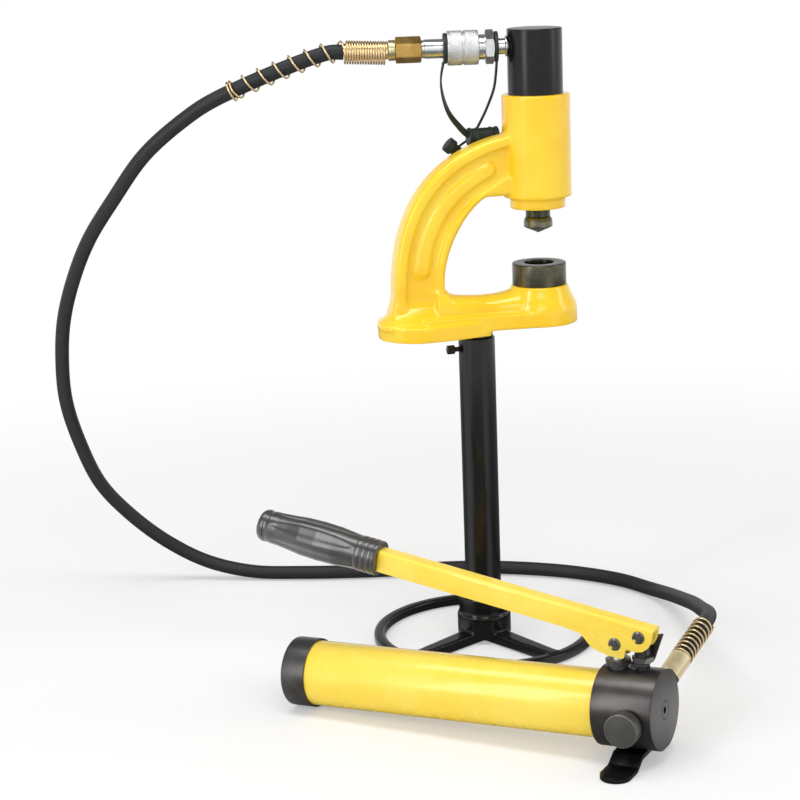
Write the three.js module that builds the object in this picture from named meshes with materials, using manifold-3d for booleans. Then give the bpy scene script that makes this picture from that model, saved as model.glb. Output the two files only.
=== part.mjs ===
// Hydraulic hole punch on a ring-foot stand, with its hand pump and hose.
// Millimetres, +Z up. The throat of the C-frame opens towards +X.
import * as THREE from 'three';
import { mergeVertices } from 'three/addons/utils/BufferGeometryUtils.js';
import Module from 'manifold-3d';

const wasm = await Module();
wasm.setup();

// Clearance between neighbouring pieces, and how far a cut runs past a face
const GAP = 0.3;
const OVERRUN = 2;
// Small edge rounding of turned pieces and of castings
const EDGE = 1;
const CAST_EDGE = 2.5;
// Sides of round pieces
const FINE = 32;
const MEDIUM = 20;
const COARSE = 12;
const HEX = 6;

// Where the post stands, and the pump's end cap from the post
const POST_X = 72;
const POST_Y = 150;
const PUMP_X = -231;
const PUMP_Y = -123.6;
const PUMP_TURN = THREE.MathUtils.degToRad(-41.5);

// Ring foot: ring, three spokes and the hub that holds the post
const RING_RADIUS = 119;
const RING_BAR = 12;
const RING_HEIGHT = 11;
const SPOKE_TURNS = [-66, -148, 73];
const SPOKE_WIDTH = 13;
const SPOKE_ROOT = 22;
const SPOKE_HEIGHT = 12;
const HUB_STEP = 2;
const HUB_LIFT = 5.4;
const HUB_LEDGE = 28.5;
const HUB_TOP = 49.6;
const HUB_WALL = 7.5;
const HUB_FLOOR = 4;

// Post tube, the spigot in its top and the thumb screw that locks it
const POST_RADIUS = 19;
const POST_WALL = 3;
const POST_TOP = 330.5;
const SPIGOT_SHOW = 5.5;
const SPIGOT_LENGTH = 60;
const SPIGOT_COLLAR = 17;
const STUD_RADIUS = 11;
const STUD_LENGTH = 12;
const THUMB_DROP = 12;
const THUMB_SHANK = 2.5;
const THUMB_HEAD = 4.7;
const THUMB_HEAD_LENGTH = 8;
const THUMB_REACH = 5.2;
const hubCollar = POST_RADIUS + HUB_WALL;
const hubRadius = hubCollar + HUB_STEP;

// C-frame: base, column, throat, arch and barrel, each height counted from the piece below it
const FOOT_THICKNESS = 16;
const FOOT_RADIUS = 42;
const FOOT_CENTRE = 62;
const JAW_LIFT = 5;
const JAW_FLANGE = 16;
const JAW_NOSE = 9.7;
const SEAT_MARGIN = 1.1;
const WAIST = 33;
const WAIST_X = 8;
const SEAT_RISE = 24;
const ARCH_WIDTH = 30;
const COLUMN_BACK = 85;
const THROAT_DEPTH = 108;
const PUNCH_X = 70;
const THROAT_HEIGHT = 98;
const CROWN_HEIGHT = 62;
const COLUMN_FLARE = 8;
const LIP_OUTER = 5;
const LIP_INNER = 8.5;
const POCKET_DEPTH = 5;
const PAD_WIDTH = 13;
const PAD_HEIGHT = 2.5;
const BARREL_WALL = 7.1;
const BARREL_DROP = 6;
const BARREL_HEIGHT = 106;
const SKIRT_STEP = 6.6;
const SKIRT_HEIGHT = 11.5;
const CYLINDER_SEAT = 19;
const footBottom = POST_TOP + SPIGOT_SHOW;
const jawBottom = footBottom + JAW_LIFT;
const jawTop = jawBottom + JAW_FLANGE;
const seatTop = jawTop + SEAT_RISE;
const throatTop = seatTop + THROAT_HEIGHT;
const archTop = throatTop + CROWN_HEIGHT;
const barrelBottom = throatTop - BARREL_DROP;
const barrelTop = barrelBottom + BARREL_HEIGHT;
const skirtBottom = barrelBottom - SKIRT_HEIGHT;
const cylinderFloor = barrelBottom + CYLINDER_SEAT;

// Curve of the arch's back and of the throat, as shares of their span and rise
const ARCH_BACK_shares = [[0, 0.11], [0, 0.66], [0.32, 0.94], [0.84, 1]];
const THROAT_shares = [[0, 0.11], [0, 0.6], [0.185, 0.95], [0.43, 1]];
// Crest of the jaw from column to seat: shares of throat depth, of the seat's rise, and of half the waist
const CREST_shares = [[-0.1, 1.3, 0.6], [0.02, 1.15, 0.6], [0.05, 0.75, 0.6], [0.12, 0.5, 0.58],
  [0.24, 0.4, 0.56], [0.4, 0.38, 0.56], [0.54, 0.44, 0.6], [0.64, 0.58, 0.68], [0.74, 0.8, 0.78],
  [0.84, 0.97, 0.84]];
// Side of the seat boss: shares of the way out from the seat to the flange, and of the seat's rise
const BOSS_shares = [[1, -0.2], [1, 0], [0.85, 0.12], [0.5, 0.45], [0.2, 0.8], [0, 1]];
// Root of the column: shares of the seat's rise, and of half the column's depth and width
const ROOT_shares = [[-0.4, 1.6, 2.1], [-0.2, 1.6, 2.1], [-0.08, 1.42, 1.8], [0.1, 1.24, 1.45],
  [0.4, 1.09, 1.18], [0.85, 0.98, 0.98]];

// Ram cylinder and what moves in it
const CYLINDER_RADIUS = 28.3;
const CYLINDER_WALL = 7.3;
const CYLINDER_SHOW = 66.5;
const CYLINDER_CROWN = 11.5;
const PISTON_DROP = 26.5;
const PISTON_HEIGHT = 19;
const SEAL_LIFT = 6;
const SEAL_HEIGHT = 5;
const SEAL_DEPTH = 2.7;
const PISTON_FIT = 0.4;
const ROD_RADIUS = 12.75;
const ROD_REACH = 9.1;
const ROD_STUD = 8;
const ROD_STUD_LENGTH = 12;
const BUSH_RADIUS = 18;
const BUSH_FLANGE = 2.3;
const BUSH_HEIGHT = 6;
const WIPER_HEIGHT = 4;
const WIPER_RADIUS = 17;
const RETURN_WIRE = 1.4;
const RETURN_RADIUS = 17;
const RETURN_TURNS = 7;
const cylinderTop = barrelTop + CYLINDER_SHOW;
const pistonTop = cylinderTop - PISTON_DROP;
const pistonBottom = pistonTop - PISTON_HEIGHT;
const sealBottom = pistonBottom + SEAL_LIFT;
const rodBottom = skirtBottom - ROD_REACH;
const barrelRadius = CYLINDER_RADIUS + BARREL_WALL;
const skirtRadius = barrelRadius - SKIRT_STEP;
const cylinderBore = CYLINDER_RADIUS - CYLINDER_WALL;
const bushFlange = CYLINDER_RADIUS - BUSH_FLANGE;

// Punch, die and their set screws
const PUNCH_RADIUS = 15;
const PUNCH_LENGTH = 17.5;
const PUNCH_CONE = 7;
const PUNCH_NECK = 2.4;
const PUNCH_SHANK = 8;
const PUNCH_SHANK_LENGTH = 22;
const DIE_RADIUS = 28.2;
const DIE_HEIGHT = 22.7;
const DIE_CLEARANCE = 0.7;
const DIE_LAND = 13;
const DIE_RELIEF = 2.3;
const DIE_SPIGOT = 4.2;
const DIE_SPIGOT_LENGTH = 9;
const SLUG_MARGIN = 5;
const SET_SCREW = 3;
const DIE_SCREW_LENGTH = 9;
const PUNCH_SCREW_LENGTH = 4;
const punchTip = rodBottom - PUNCH_LENGTH;
const dieTop = seatTop + DIE_HEIGHT;
const dieBore = PUNCH_RADIUS + DIE_CLEARANCE;
const dieRelief = dieBore + DIE_RELIEF;
const dieSpigot = DIE_RADIUS - DIE_SPIGOT;
const slugRadius = dieSpigot - SLUG_MARGIN;
const seatRadius = DIE_RADIUS + SEAT_MARGIN;
const jawRadius = seatRadius + JAW_NOSE;

// Quick coupler, measured along its line from the punch axis
const PORT_DROP = 17.5;
const PORT_TURN = THREE.MathUtils.degToRad(168);
const PORT_RADIUS = 7;
const BORE_RADIUS = 3.2;
const ADAPTER_INSERT = 6.3;
const ADAPTER_FLANGE = 1.7;
const ADAPTER_FLANGE_RADIUS = 10.5;
const ADAPTER_BODY = 11.2;
const ADAPTER_BODY_RADIUS = 8.2;
const ADAPTER_THREAD = 12.4;
const COUPLER_HEX_RADIUS = 17.6;
const COUPLER_HEX_LENGTH = 9.2;
const COUPLER_NECK = 6.8;
const COUPLER_NECK_RADIUS = 12.8;
const COLLAR_LENGTH = 31.8;
const COLLAR_RADIUS = 17.6;
const COLLAR_BORE = 11.8;
const COLLAR_GROOVE = 1.5;
const SOCKET_INSET = 4.1;
const SOCKET_RADIUS = 8.1;
const NIPPLE_INSET = 6.1;
const NIPPLE_RADIUS = 9.8;
const NIPPLE_SHOW = 26.1;
const NUT_LENGTH = 26.3;
const NUT_RADIUS = 13.5;
const STUB_RADIUS = 6.5;
const STUB_LENGTH = 12;
const INSERT_COLLAR = 6.9;
const INSERT_RADIUS = 10.5;
const FERRULE_LENGTH = 45;
const FERRULE_RADIUS = 8.9;
const TAIL_RADIUS = 4;
const TAIL_LENGTH = 34;
const portHeight = cylinderTop - PORT_DROP;
const adapterStart = CYLINDER_RADIUS - ADAPTER_INSERT;
const adapterFlange = CYLINDER_RADIUS + GAP;
const adapterBody = adapterFlange + ADAPTER_FLANGE;
const adapterShoulder = adapterBody + ADAPTER_BODY;
const adapterEnd = adapterShoulder + ADAPTER_THREAD;
const couplerNeck = adapterShoulder + GAP + COUPLER_HEX_LENGTH;
const collarStart = couplerNeck + COUPLER_NECK;
const collarEnd = collarStart + COLLAR_LENGTH;
const socketStart = collarStart + SOCKET_INSET;
const nippleStart = collarStart + NIPPLE_INSET;
const nippleEnd = collarEnd + NIPPLE_SHOW;

// Hose and the wound wire guards over its two ends
const HOSE_RADIUS = 7.7;
const HOSE_SIDES = 8;
const HOSE_STEPS = 70;
const CURL_STEPS = 8;
const CURL_SIDES = 5;
const GUARD_WIRE = 1.1;
const GUARD_SLACK = 1.1;
const TIGHT_TURNS = 16;
const OPEN_TURNS = 7;
const OPEN_PITCH = 17.3;
const END_TURNS = 1.5;
const END_PITCH = 3.2;
const PUMP_GUARD_TURNS = 9;
const PUMP_GUARD_LENGTH = 68;
const PUMP_GUARD_RADIUS = 11.6;
// Middle of the wire where it grips the ferrule and where it lies round the hose, measured at its corners
const cornerRadius = (flatRadius) => flatRadius / Math.cos(Math.PI / CURL_STEPS);
const tightRadius = cornerRadius(FERRULE_RADIUS + GAP + GUARD_WIRE);
const openRadius = cornerRadius(HOSE_RADIUS + GUARD_SLACK + GUARD_WIRE);

// Rubber dust cap and dust plug with their straps
const STRAP_RING = 15.5;
const STRAP_RING_WIDTH = 3.6;
const STRAP_WIDTH = 7;
const STRAP_THICKNESS = 2;
const STRAP_DROP = 87;
const CAP_RUBBER_RADIUS = 10;
const CAP_RUBBER_LENGTH = 32;
const PLUG_RUBBER_RADIUS = 8;
const PLUG_RUBBER_LENGTH = 20;
const PLUG_LEAN = THREE.MathUtils.degToRad(50);
// How each strap hangs, in shares of its drop from the coupler line
const CAP_STRAP_shares = [[-0.02, 0, -0.155], [-0.055, 0, -0.32], [-0.055, 0.01, -0.44], [-0.02, 0.02, -0.62],
  [0.05, 0.05, -0.78], [0.16, 0.08, -0.92], [0.27, 0.09, -1.03], [0.37, 0.09, -1.07]];
const CAP_PLACE_shares = [0.46, 0.09, -1.07];
const PLUG_STRAP_shares = [[0.015, 0.03, -0.155], [0.02, 0.1, -0.33], [0.01, 0.16, -0.5], [-0.04, 0.25, -0.7],
  [-0.09, 0.37, -0.88], [-0.2, 0.41, -1.07], [-0.38, 0.35, -1.18], [-0.48, 0.22, -1.2]];
const PLUG_PLACE_shares = [-0.485, 0.215, -1.2];

// Hand pump, measured along its axis
const PUMP_LENGTH = 389;
const HEAD_LENGTH = 59;
const HEAD_STEP = 6;
const HEAD_LIFT = 11;
const HEAD_SPIGOT = 15;
const END_CAP_STEP = 2;
const END_CAP_LENGTH = 26;
const END_CAP_WALL = 6;
const TUBE_RADIUS = 32;
const TUBE_WALL = 2.5;
const BLADDER_ROOM = 4.5;
const BLADDER_WALL = 2;
const BLADDER_START = 40;
const BLADDER_NECK = 7.5;
const headRadius = TUBE_RADIUS + HEAD_STEP;
const endCapRadius = TUBE_RADIUS + END_CAP_STEP;
const bladderRadius = TUBE_RADIUS - TUBE_WALL - BLADDER_ROOM;

// Pump head fittings: how far each stands back from the head's face, and its height above the axis
const PLUNGER_INSET = 43.2;
const PLUNGER_RADIUS = 6;
const PLUNGER_BOTTOM = -13;
const PLUNGER_FLAT = 5;
const EYE_RADIUS = 7;
const GLAND_HEIGHT = 5;
const GLAND_RADIUS = 13;
const GLAND_STANDOFF = 3;
const GLAND_SKIRT = 9;
const GLAND_DEPTH = 14;
const PACKING_HEIGHT = 5;
const BALL_RADIUS = 3.5;
const FULCRUM_STUD = 6.2;
const FULCRUM_DEPTH = 20;
const FULCRUM_NUT = 10.8;
const FULCRUM_NUT_HEIGHT = 5;
const PLATE_STANDOFF = 4.5;
const PLATE_THICKNESS = 2.7;
const KNOB_INSET = 23;
const KNOB_Z = -4;
const KNOB_RADIUS = 16.2;
const KNOB_LENGTH = 12;
const KNOB_GAP = 3.5;
const NEEDLE_RADIUS = 5;
const NEEDLE_TIP = 12;
const HEAD_PLUG_RADIUS = 8.7;
const HEAD_PLUG_LENGTH = 11;
const HEAD_PLUG_SOCKET = 3.6;
const OUTLET_INSET = 14;
const OUTLET_Z = 12;
const OUTLET_TILT = THREE.MathUtils.degToRad(10);
const OUTLET_HEX = 12.5;
const OUTLET_HEX_LENGTH = 7.5;
const OUTLET_STANDOFF = 1.5;
const OUTLET_DEPTH = 14;
const OUTLET_FERRULE = 36;
const OUTLET_FERRULE_RADIUS = 10.7;

// Foot strip under the pump head
const STRIP_INSET = 27;
const STRIP_WIDTH = 29;
const STRIP_THICKNESS = 4;
const STRIP_RISE = 8;
const STRIP_BACK = 18;
const STRIP_REACH = 70;
const STRIP_BEND_START = 25;
const STRIP_BEND_END = 38;
const STRIP_SCREW = 2.5;
const STRIP_SCREW_HEAD = 4.5;
const STRIP_SCREW_SPACING = 14;

// Lever: fulcrum and plunger pins, the pressed channel and its grip
const FULCRUM_INSET = 19;
const FULCRUM_RISE = 32.6;
const PIN_OFFSET = 0.6;
const PIN_DROP = 8.3;
const PIN_RADIUS = 3;
const PIN_HEAD = 5.6;
const PIN_HEAD_THICKNESS = 2.4;
const PIN_SLOT = 2;
const LINK_EYE = 6.2;
const CLIP_RADIUS = 6;
const CLIP_THICKNESS = 1.2;
const LEVER_SLOPE = THREE.MathUtils.degToRad(11.3);
const LEVER_WIDTH = 18;
const LEVER_SHEET = 3;
const LEVER_TOP = 10.6;
const LEVER_LENGTH = 270;
const LEVER_HEEL = 12.5;
const LEVER_DEPTH = 21;
const TONGUE_LENGTH = 96;
const TONGUE_SIZE = 13;
const GRIP_LENGTH = 132;
const GRIP_RADIUS = 19.5;
const GRIP_BORE = 9.8;
const plungerX = PUMP_LENGTH - PLUNGER_INSET;
const glandBottom = headRadius + GLAND_STANDOFF;
const plateBottom = headRadius + PLATE_STANDOFF;
const knobStart = headRadius + KNOB_GAP;
const knobX = PUMP_LENGTH - KNOB_INSET;
const outletX = PUMP_LENGTH - OUTLET_INSET;
const stripX = PUMP_LENGTH - STRIP_INSET;
const fulcrumX = PUMP_LENGTH - FULCRUM_INSET;
const fulcrumZ = headRadius + FULCRUM_RISE;
const pinX = plungerX + PIN_OFFSET;
const pinZ = fulcrumZ - PIN_DROP;
// Grip outline: share of length from its outer end, share of its largest radius
const GRIP_shares = [[0, 0.7], [0.02, 0.8], [0.05, 0.82], [0.06, 0.79], [0.08, 0.79], [0.09, 0.82],
  [0.16, 0.83], [0.24, 0.88], [0.36, 0.97], [0.5, 1], [0.64, 0.97], [0.76, 0.89], [0.83, 0.86],
  [0.84, 0.89], [0.87, 0.86], [0.88, 0.89], [0.91, 0.87], [0.92, 0.89], [0.97, 0.88], [1, 0.8]];
// Lower edge of the lever's cheeks from its heel: shares of heel and depth from the fulcrum pin
const EAR_shares = [[1, 0.18], [0.98, -0.08], [0.83, -0.37], [0.46, -0.6], [-0.04, -0.69], [-0.57, -0.7],
  [-0.86, -0.72], [-0.85, -1.14], [-1.14, -1.2], [-2.1, -1.21], [-2.92, -1.15], [-3.42, -1.08],
  [-4.34, -0.63], [-4.58, -0.56], [-6.1, -0.5]];
// Fulcrum plate's wing: shares of the nut's radius and of the height up to the fulcrum pin
const PLATE_shares = [[-0.9, 0], [0.56, 0], [1.48, 0.94], [0.83, 0.88], [-0.9, 0.6]];

// Materials
function finish(color, roughness, metalness) {
  return new THREE.MeshStandardMaterial({ color, roughness, metalness });
}

const YELLOW = finish(0xfed93e, 0.3, 0);
const PALE_YELLOW = finish(0xfde058, 0.35, 0);
const BLACK = finish(0x151417, 0.3, 0.1);
const GUNMETAL = finish(0x48484a, 0.4, 0.7);
const TOOL_STEEL = finish(0x4b4e46, 0.4, 0.8);
const ZINC = finish(0xc9cbcc, 0.3, 0.9);
const BRASS = finish(0xc8a050, 0.3, 0.9);
const RUBBER = finish(0x323434, 0.8, 0);
const STRAP = finish(0x232d2a, 0.6, 0);
const GRIP = finish(0x505050, 0.45, 0);
const BRONZE = finish(0xa87a44, 0.4, 0.9);

// Solids from closed geometries

function solid(geometry) {
  const bare = geometry.clone();
  bare.deleteAttribute('normal');
  bare.deleteAttribute('uv');
  const welded = mergeVertices(bare);
  const corners = welded.index.array;
  const kept = [];
  for (let i = 0; i < corners.length; i += 3) {
    const [a, b, c] = [corners[i], corners[i + 1], corners[i + 2]];
    if (a !== b && b !== c && c !== a) kept.push(a, b, c);
  }
  return new wasm.Manifold(new wasm.Mesh({
    numProp: 3,
    vertProperties: Float32Array.from(welded.attributes.position.array),
    triVerts: Uint32Array.from(kept),
  }));
}

function piece(parent, name, body, material) {
  const { vertProperties, triVerts } = body.getMesh();
  const geometry = new THREE.BufferGeometry();
  geometry.setAttribute('position', new THREE.BufferAttribute(Float32Array.from(vertProperties), 3));
  geometry.setIndex(new THREE.BufferAttribute(Uint32Array.from(triVerts), 1));
  geometry.computeVertexNormals();
  const mesh = new THREE.Mesh(geometry, material);
  mesh.name = name;
  parent.add(mesh);
  return mesh;
}

const joined = (...solids) => solids.reduce((sum, next) => sum.add(next));
const cut = (body, ...tools) => tools.reduce((left, tool) => left.subtract(tool), body);
const movedSolid = (body, x, y = 0, z = 0) => body.translate([x, y, z]);

// A piece turned about +Z from a profile of [radius, height]
function turned(profile, sides) {
  const points = profile.map(([radius, height]) => new THREE.Vector2(radius, height));
  return new THREE.LatheGeometry(points, sides).rotateX(Math.PI / 2);
}

function rod(radius, from, to, sides, edge = 0) {
  if (!edge) return turned([[0, from], [radius, from], [radius, to], [0, to]], sides);
  return turned([[0, from], [radius - edge, from], [radius, from + edge], [radius, to - edge],
    [radius - edge, to], [0, to]], sides);
}

function ring(inner, outer, from, to, sides, edge = 0) {
  if (!edge) return turned([[inner, from], [outer, from], [outer, to], [inner, to], [inner, from]], sides);
  return turned([[inner, from], [outer - edge, from], [outer, from + edge], [outer, to - edge],
    [outer - edge, to], [inner, to], [inner, from]], sides);
}

// A flat shape given thickness about z = 0, with rounded edges
function slab(shape, thickness, round = 0, steps = 1, curveSegments = 10) {
  const geometry = new THREE.ExtrudeGeometry(shape, {
    depth: thickness - 2 * round,
    steps: 1,
    curveSegments,
    bevelEnabled: round > 0,
    bevelThickness: round,
    bevelSize: round,
    bevelOffset: -round,
    bevelSegments: steps,
  });
  return geometry.translate(0, 0, round - thickness / 2);
}

// The same, standing in the XZ plane with its thickness along Y
const upright = (...slabArguments) => slab(...slabArguments).rotateX(Math.PI / 2);
const alongX = (geometry) => geometry.rotateY(Math.PI / 2);
const alongY = (geometry) => geometry.rotateX(-Math.PI / 2);

function polygon(points) {
  return new THREE.Shape(points.map(([x, y]) => new THREE.Vector2(x, y)));
}

function rectangle(width, height) {
  const [right, top] = [width / 2, height / 2];
  return polygon([[-right, -top], [right, -top], [right, top], [-right, top]]);
}

// A body through a row of closed loops of points, closed by a fan at each end
function loft(loops) {
  const count = loops[0].length;
  const corners = [];
  const middles = [loops[0], loops[loops.length - 1]].map((loop) => {
    return loop.reduce((sum, point) => sum.add(point), new THREE.Vector3()).divideScalar(count);
  });
  const points = [...loops.flat(), ...middles];
  const [first, last] = [points.length - 2, points.length - 1];
  const end = (loops.length - 1) * count;
  for (let k = 0; k < count; k += 1) {
    const next = (k + 1) % count;
    corners.push(first, next, k, last, end + k, end + next);
    for (let i = 0; i + 1 < loops.length; i += 1) {
      const [a, b] = [i * count + k, i * count + next];
      corners.push(a, b, b + count, a, b + count, a + count);
    }
  }
  const geometry = new THREE.BufferGeometry().setFromPoints(points);
  geometry.setIndex(corners);
  return geometry;
}

// How upright a wire's start may be, as the cosine to +Z, and the least turns between neighbours of a coil
const STEEP_share = 0.9;
const NEIGHBOUR_share = 0.6;

// A round wire along a list of points, closed at both ends
function wire(points, radius, sides) {
  const positions = [];
  const corners = [];
  let side = new THREE.Vector3(0, 0, 1);
  points.forEach((point, i) => {
    const before = points[Math.max(i - 1, 0)];
    const after = points[Math.min(i + 1, points.length - 1)];
    const ahead = after.clone().sub(before).normalize();
    if (i === 0 && Math.abs(ahead.z) > STEEP_share) side = new THREE.Vector3(1, 0, 0);
    side = side.clone().addScaledVector(ahead, -side.dot(ahead)).normalize();
    const other = ahead.clone().cross(side);
    for (let k = 0; k < sides; k += 1) {
      const angle = 2 * Math.PI * k / sides;
      const at = point.clone().addScaledVector(side, radius * Math.cos(angle));
      at.addScaledVector(other, radius * Math.sin(angle));
      positions.push(at.x, at.y, at.z);
    }
  });
  for (let i = 0; i + 1 < points.length; i += 1) {
    for (let k = 0; k < sides; k += 1) {
      const [a, b] = [i * sides + k, i * sides + (k + 1) % sides];
      corners.push(a, b, a + sides, b, b + sides, a + sides);
    }
  }
  const last = (points.length - 1) * sides;
  for (let k = 1; k + 1 < sides; k += 1) {
    corners.push(0, k + 1, k);
    corners.push(last, last + k, last + k + 1);
  }
  const geometry = new THREE.BufferGeometry();
  geometry.setAttribute('position', new THREE.Float32BufferAttribute(positions, 3));
  geometry.setIndex(corners);
  return geometry;
}

// Least distance between the faces of neighbouring turns of a wire
function leastGap(points, radius, stepsPerTurn) {
  let least = Infinity;
  for (let i = 0; i < points.length; i += 1) {
    for (let j = i + Math.round(stepsPerTurn * NEIGHBOUR_share); j < points.length; j += 1) {
      least = Math.min(least, points[i].distanceTo(points[j]) - 2 * radius);
    }
  }
  return least;
}

// A coil about a path: where(turn) gives the place along the path and the coil's radius there
function coil(path, turns, where) {
  const points = [];
  for (let i = 0; i <= turns * CURL_STEPS; i += 1) {
    const { along, radius } = where(i / CURL_STEPS);
    const { centre, side, up } = path(along);
    const angle = 2 * Math.PI * i / CURL_STEPS;
    const point = centre.clone().addScaledVector(side, radius * Math.cos(angle));
    points.push(point.addScaledVector(up, radius * Math.sin(angle)));
  }
  return points;
}

// Places along a curve with a frame that doesn't twist
function framed(curve, length) {
  return (along) => {
    const at = THREE.MathUtils.clamp(along / length, 0, 1);
    const tangent = curve.getTangentAt(at);
    const centre = curve.getPointAt(at).addScaledVector(tangent, along - at * length);
    const side = new THREE.Vector3(-tangent.y, tangent.x, 0).normalize();
    const up = tangent.clone().cross(side);
    return { centre, side, up };
  };
}

const machine = new THREE.Group();
const stand = new THREE.Group();
stand.position.set(POST_X, POST_Y, 0);
machine.add(stand);

// Ring foot

function ringFoot() {
  const rim = ring(RING_RADIUS - RING_BAR, RING_RADIUS, 0, RING_HEIGHT, FINE, CAST_EDGE);
  const parts = [solid(rim)];
  const reach = RING_RADIUS - RING_BAR / 2;
  for (const turn of SPOKE_TURNS) {
    const [root, tip] = [SPOKE_ROOT / 2, SPOKE_WIDTH / 2];
    const outline = polygon([[0, -root], [reach, -tip], [reach, tip], [0, root]]);
    const bar = slab(outline, SPOKE_HEIGHT, CAST_EDGE).translate(0, 0, SPOKE_HEIGHT / 2 + GAP);
    parts.push(solid(bar.rotateZ(THREE.MathUtils.degToRad(turn))));
  }
  const hub = turned([[0, HUB_LIFT], [hubRadius - EDGE, HUB_LIFT], [hubRadius, HUB_LIFT + EDGE],
    [hubRadius, HUB_LEDGE - EDGE], [hubRadius - EDGE, HUB_LEDGE], [hubCollar, HUB_LEDGE],
    [hubCollar, HUB_TOP - CAST_EDGE], [hubCollar - CAST_EDGE, HUB_TOP], [0, HUB_TOP]], FINE);
  const bore = rod(POST_RADIUS + GAP, HUB_LIFT + HUB_FLOOR, HUB_TOP + OVERRUN, FINE);
  const under = rod(hubRadius - CAST_EDGE, -OVERRUN, HUB_LIFT, FINE);
  return cut(joined(...parts, solid(hub)), solid(bore), solid(under));
}

// Post, spigot and thumb screw

const thumbHeight = POST_TOP - THUMB_DROP;
const thumbAxis = (geometry) => geometry.rotateY(-Math.PI / 2).translate(0, 0, thumbHeight);
const spigotRadius = POST_RADIUS - POST_WALL - GAP;

function postTube() {
  const tube = ring(POST_RADIUS - POST_WALL, POST_RADIUS, HUB_LIFT + HUB_FLOOR + GAP, POST_TOP, FINE, EDGE);
  const hole = thumbAxis(rod(THUMB_SHANK + GAP, spigotRadius, POST_RADIUS + OVERRUN, COARSE));
  return cut(solid(tube), solid(hole));
}

function headSpigot() {
  const collarTop = footBottom - GAP;
  return solid(turned([[0, POST_TOP - SPIGOT_LENGTH], [spigotRadius - EDGE, POST_TOP - SPIGOT_LENGTH],
    [spigotRadius, POST_TOP - SPIGOT_LENGTH + EDGE], [spigotRadius, POST_TOP + GAP],
    [SPIGOT_COLLAR, POST_TOP + GAP], [SPIGOT_COLLAR, collarTop], [STUD_RADIUS, collarTop],
    [STUD_RADIUS, footBottom + STUD_LENGTH], [0, footBottom + STUD_LENGTH]], FINE));
}

function thumbScrew() {
  const headStart = POST_RADIUS + THUMB_REACH;
  const headEnd = headStart + THUMB_HEAD_LENGTH;
  return solid(thumbAxis(turned([[0, spigotRadius + GAP], [THUMB_SHANK, spigotRadius + GAP],
    [THUMB_SHANK, headStart], [THUMB_HEAD - EDGE, headStart], [THUMB_HEAD, headStart + EDGE],
    [THUMB_HEAD, headEnd - EDGE], [THUMB_HEAD - EDGE, headEnd], [0, headEnd]], COARSE)));
}

piece(stand, 'ring_foot', ringFoot(), BLACK);
piece(stand, 'post_tube', postTube(), BLACK);
piece(stand, 'head_spigot', headSpigot(), BLACK);
piece(stand, 'thumb_screw', thumbScrew(), BLACK);

// C-frame casting

const columnFace = PUNCH_X - THROAT_DEPTH;
const aboutPunch = (geometry) => geometry.translate(PUNCH_X, 0, 0);

// Points of a curve given in shares of a box
function inBox(shares, left, bottom, width, height) {
  return shares.map(([across, rise]) => [left + across * width, bottom + rise * height]);
}

function archCurve(inset) {
  const back = inset - COLUMN_BACK;
  return inBox(ARCH_BACK_shares, back, jawTop, PUNCH_X - back, archTop - inset - jawTop);
}

function throatCurve(inset) {
  const face = columnFace - inset;
  return inBox(THROAT_shares, face, seatTop, PUNCH_X - face, throatTop + inset - seatTop);
}

function archSlab() {
  const outer = archCurve(0);
  const inner = throatCurve(0).reverse();
  const shape = new THREE.Shape();
  shape.moveTo(-COLUMN_BACK - COLUMN_FLARE, footBottom + FOOT_THICKNESS - CAST_EDGE);
  shape.quadraticCurveTo(-COLUMN_BACK, footBottom + FOOT_THICKNESS, ...outer[0]);
  shape.bezierCurveTo(...outer[1], ...outer[2], ...outer[3]);
  shape.lineTo(PUNCH_X, archTop);
  shape.lineTo(PUNCH_X, throatTop);
  shape.lineTo(...inner[0]);
  shape.bezierCurveTo(...inner[1], ...inner[2], ...inner[3]);
  shape.lineTo(columnFace, jawBottom + CAST_EDGE);
  shape.lineTo(-COLUMN_BACK - COLUMN_FLARE, jawBottom + CAST_EDGE);
  return solid(upright(shape, ARCH_WIDTH, CAST_EDGE, 1, 12));
}

// The pocket in each face of the arch, with the raised pad along its middle
function pocket() {
  const outer = archCurve(LIP_OUTER);
  const inner = throatCurve(LIP_INNER).reverse();
  const shape = new THREE.Shape();
  shape.moveTo(...outer[0]);
  shape.bezierCurveTo(...outer[1], ...outer[2], ...outer[3]);
  shape.lineTo(...inner[0]);
  shape.bezierCurveTo(...inner[1], ...inner[2], ...inner[3]);
  shape.lineTo(inner[3][0], outer[0][1]);
  const depth = POCKET_DEPTH + OVERRUN;
  const hollow = solid(upright(shape, 2 * depth, CAST_EDGE, 1, 10));
  const barrelRoom = rod(barrelRadius + CAST_EDGE, throatTop, barrelTop, FINE);
  return cut(hollow, padSolid(), solid(aboutPunch(barrelRoom)));
}

function padSolid() {
  const middle = (share) => {
    const outer = archCurve(LIP_OUTER);
    const inner = throatCurve(LIP_INNER);
    return outer.map((point, i) => [0, 1].map((axis) => {
      return point[axis] * share + inner[i][axis] * (1 - share);
    }));
  };
  const half = PAD_WIDTH / 2 / (COLUMN_BACK + columnFace);
  const left = middle(0.5 + half);
  const right = middle(0.5 - half).reverse();
  const shape = new THREE.Shape();
  shape.moveTo(...left[0]);
  shape.bezierCurveTo(...left[1], ...left[2], ...left[3]);
  shape.lineTo(...right[0]);
  shape.bezierCurveTo(...right[1], ...right[2], ...right[3]);
  const height = POCKET_DEPTH + OVERRUN - PAD_HEIGHT;
  const whole = solid(upright(shape, 4 * (POCKET_DEPTH + OVERRUN), 0, 1, 10));
  const kept = solid(new THREE.BoxGeometry(4 * THROAT_DEPTH, 2 * height, 4 * archTop));
  return cut(whole, kept);
}

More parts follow.
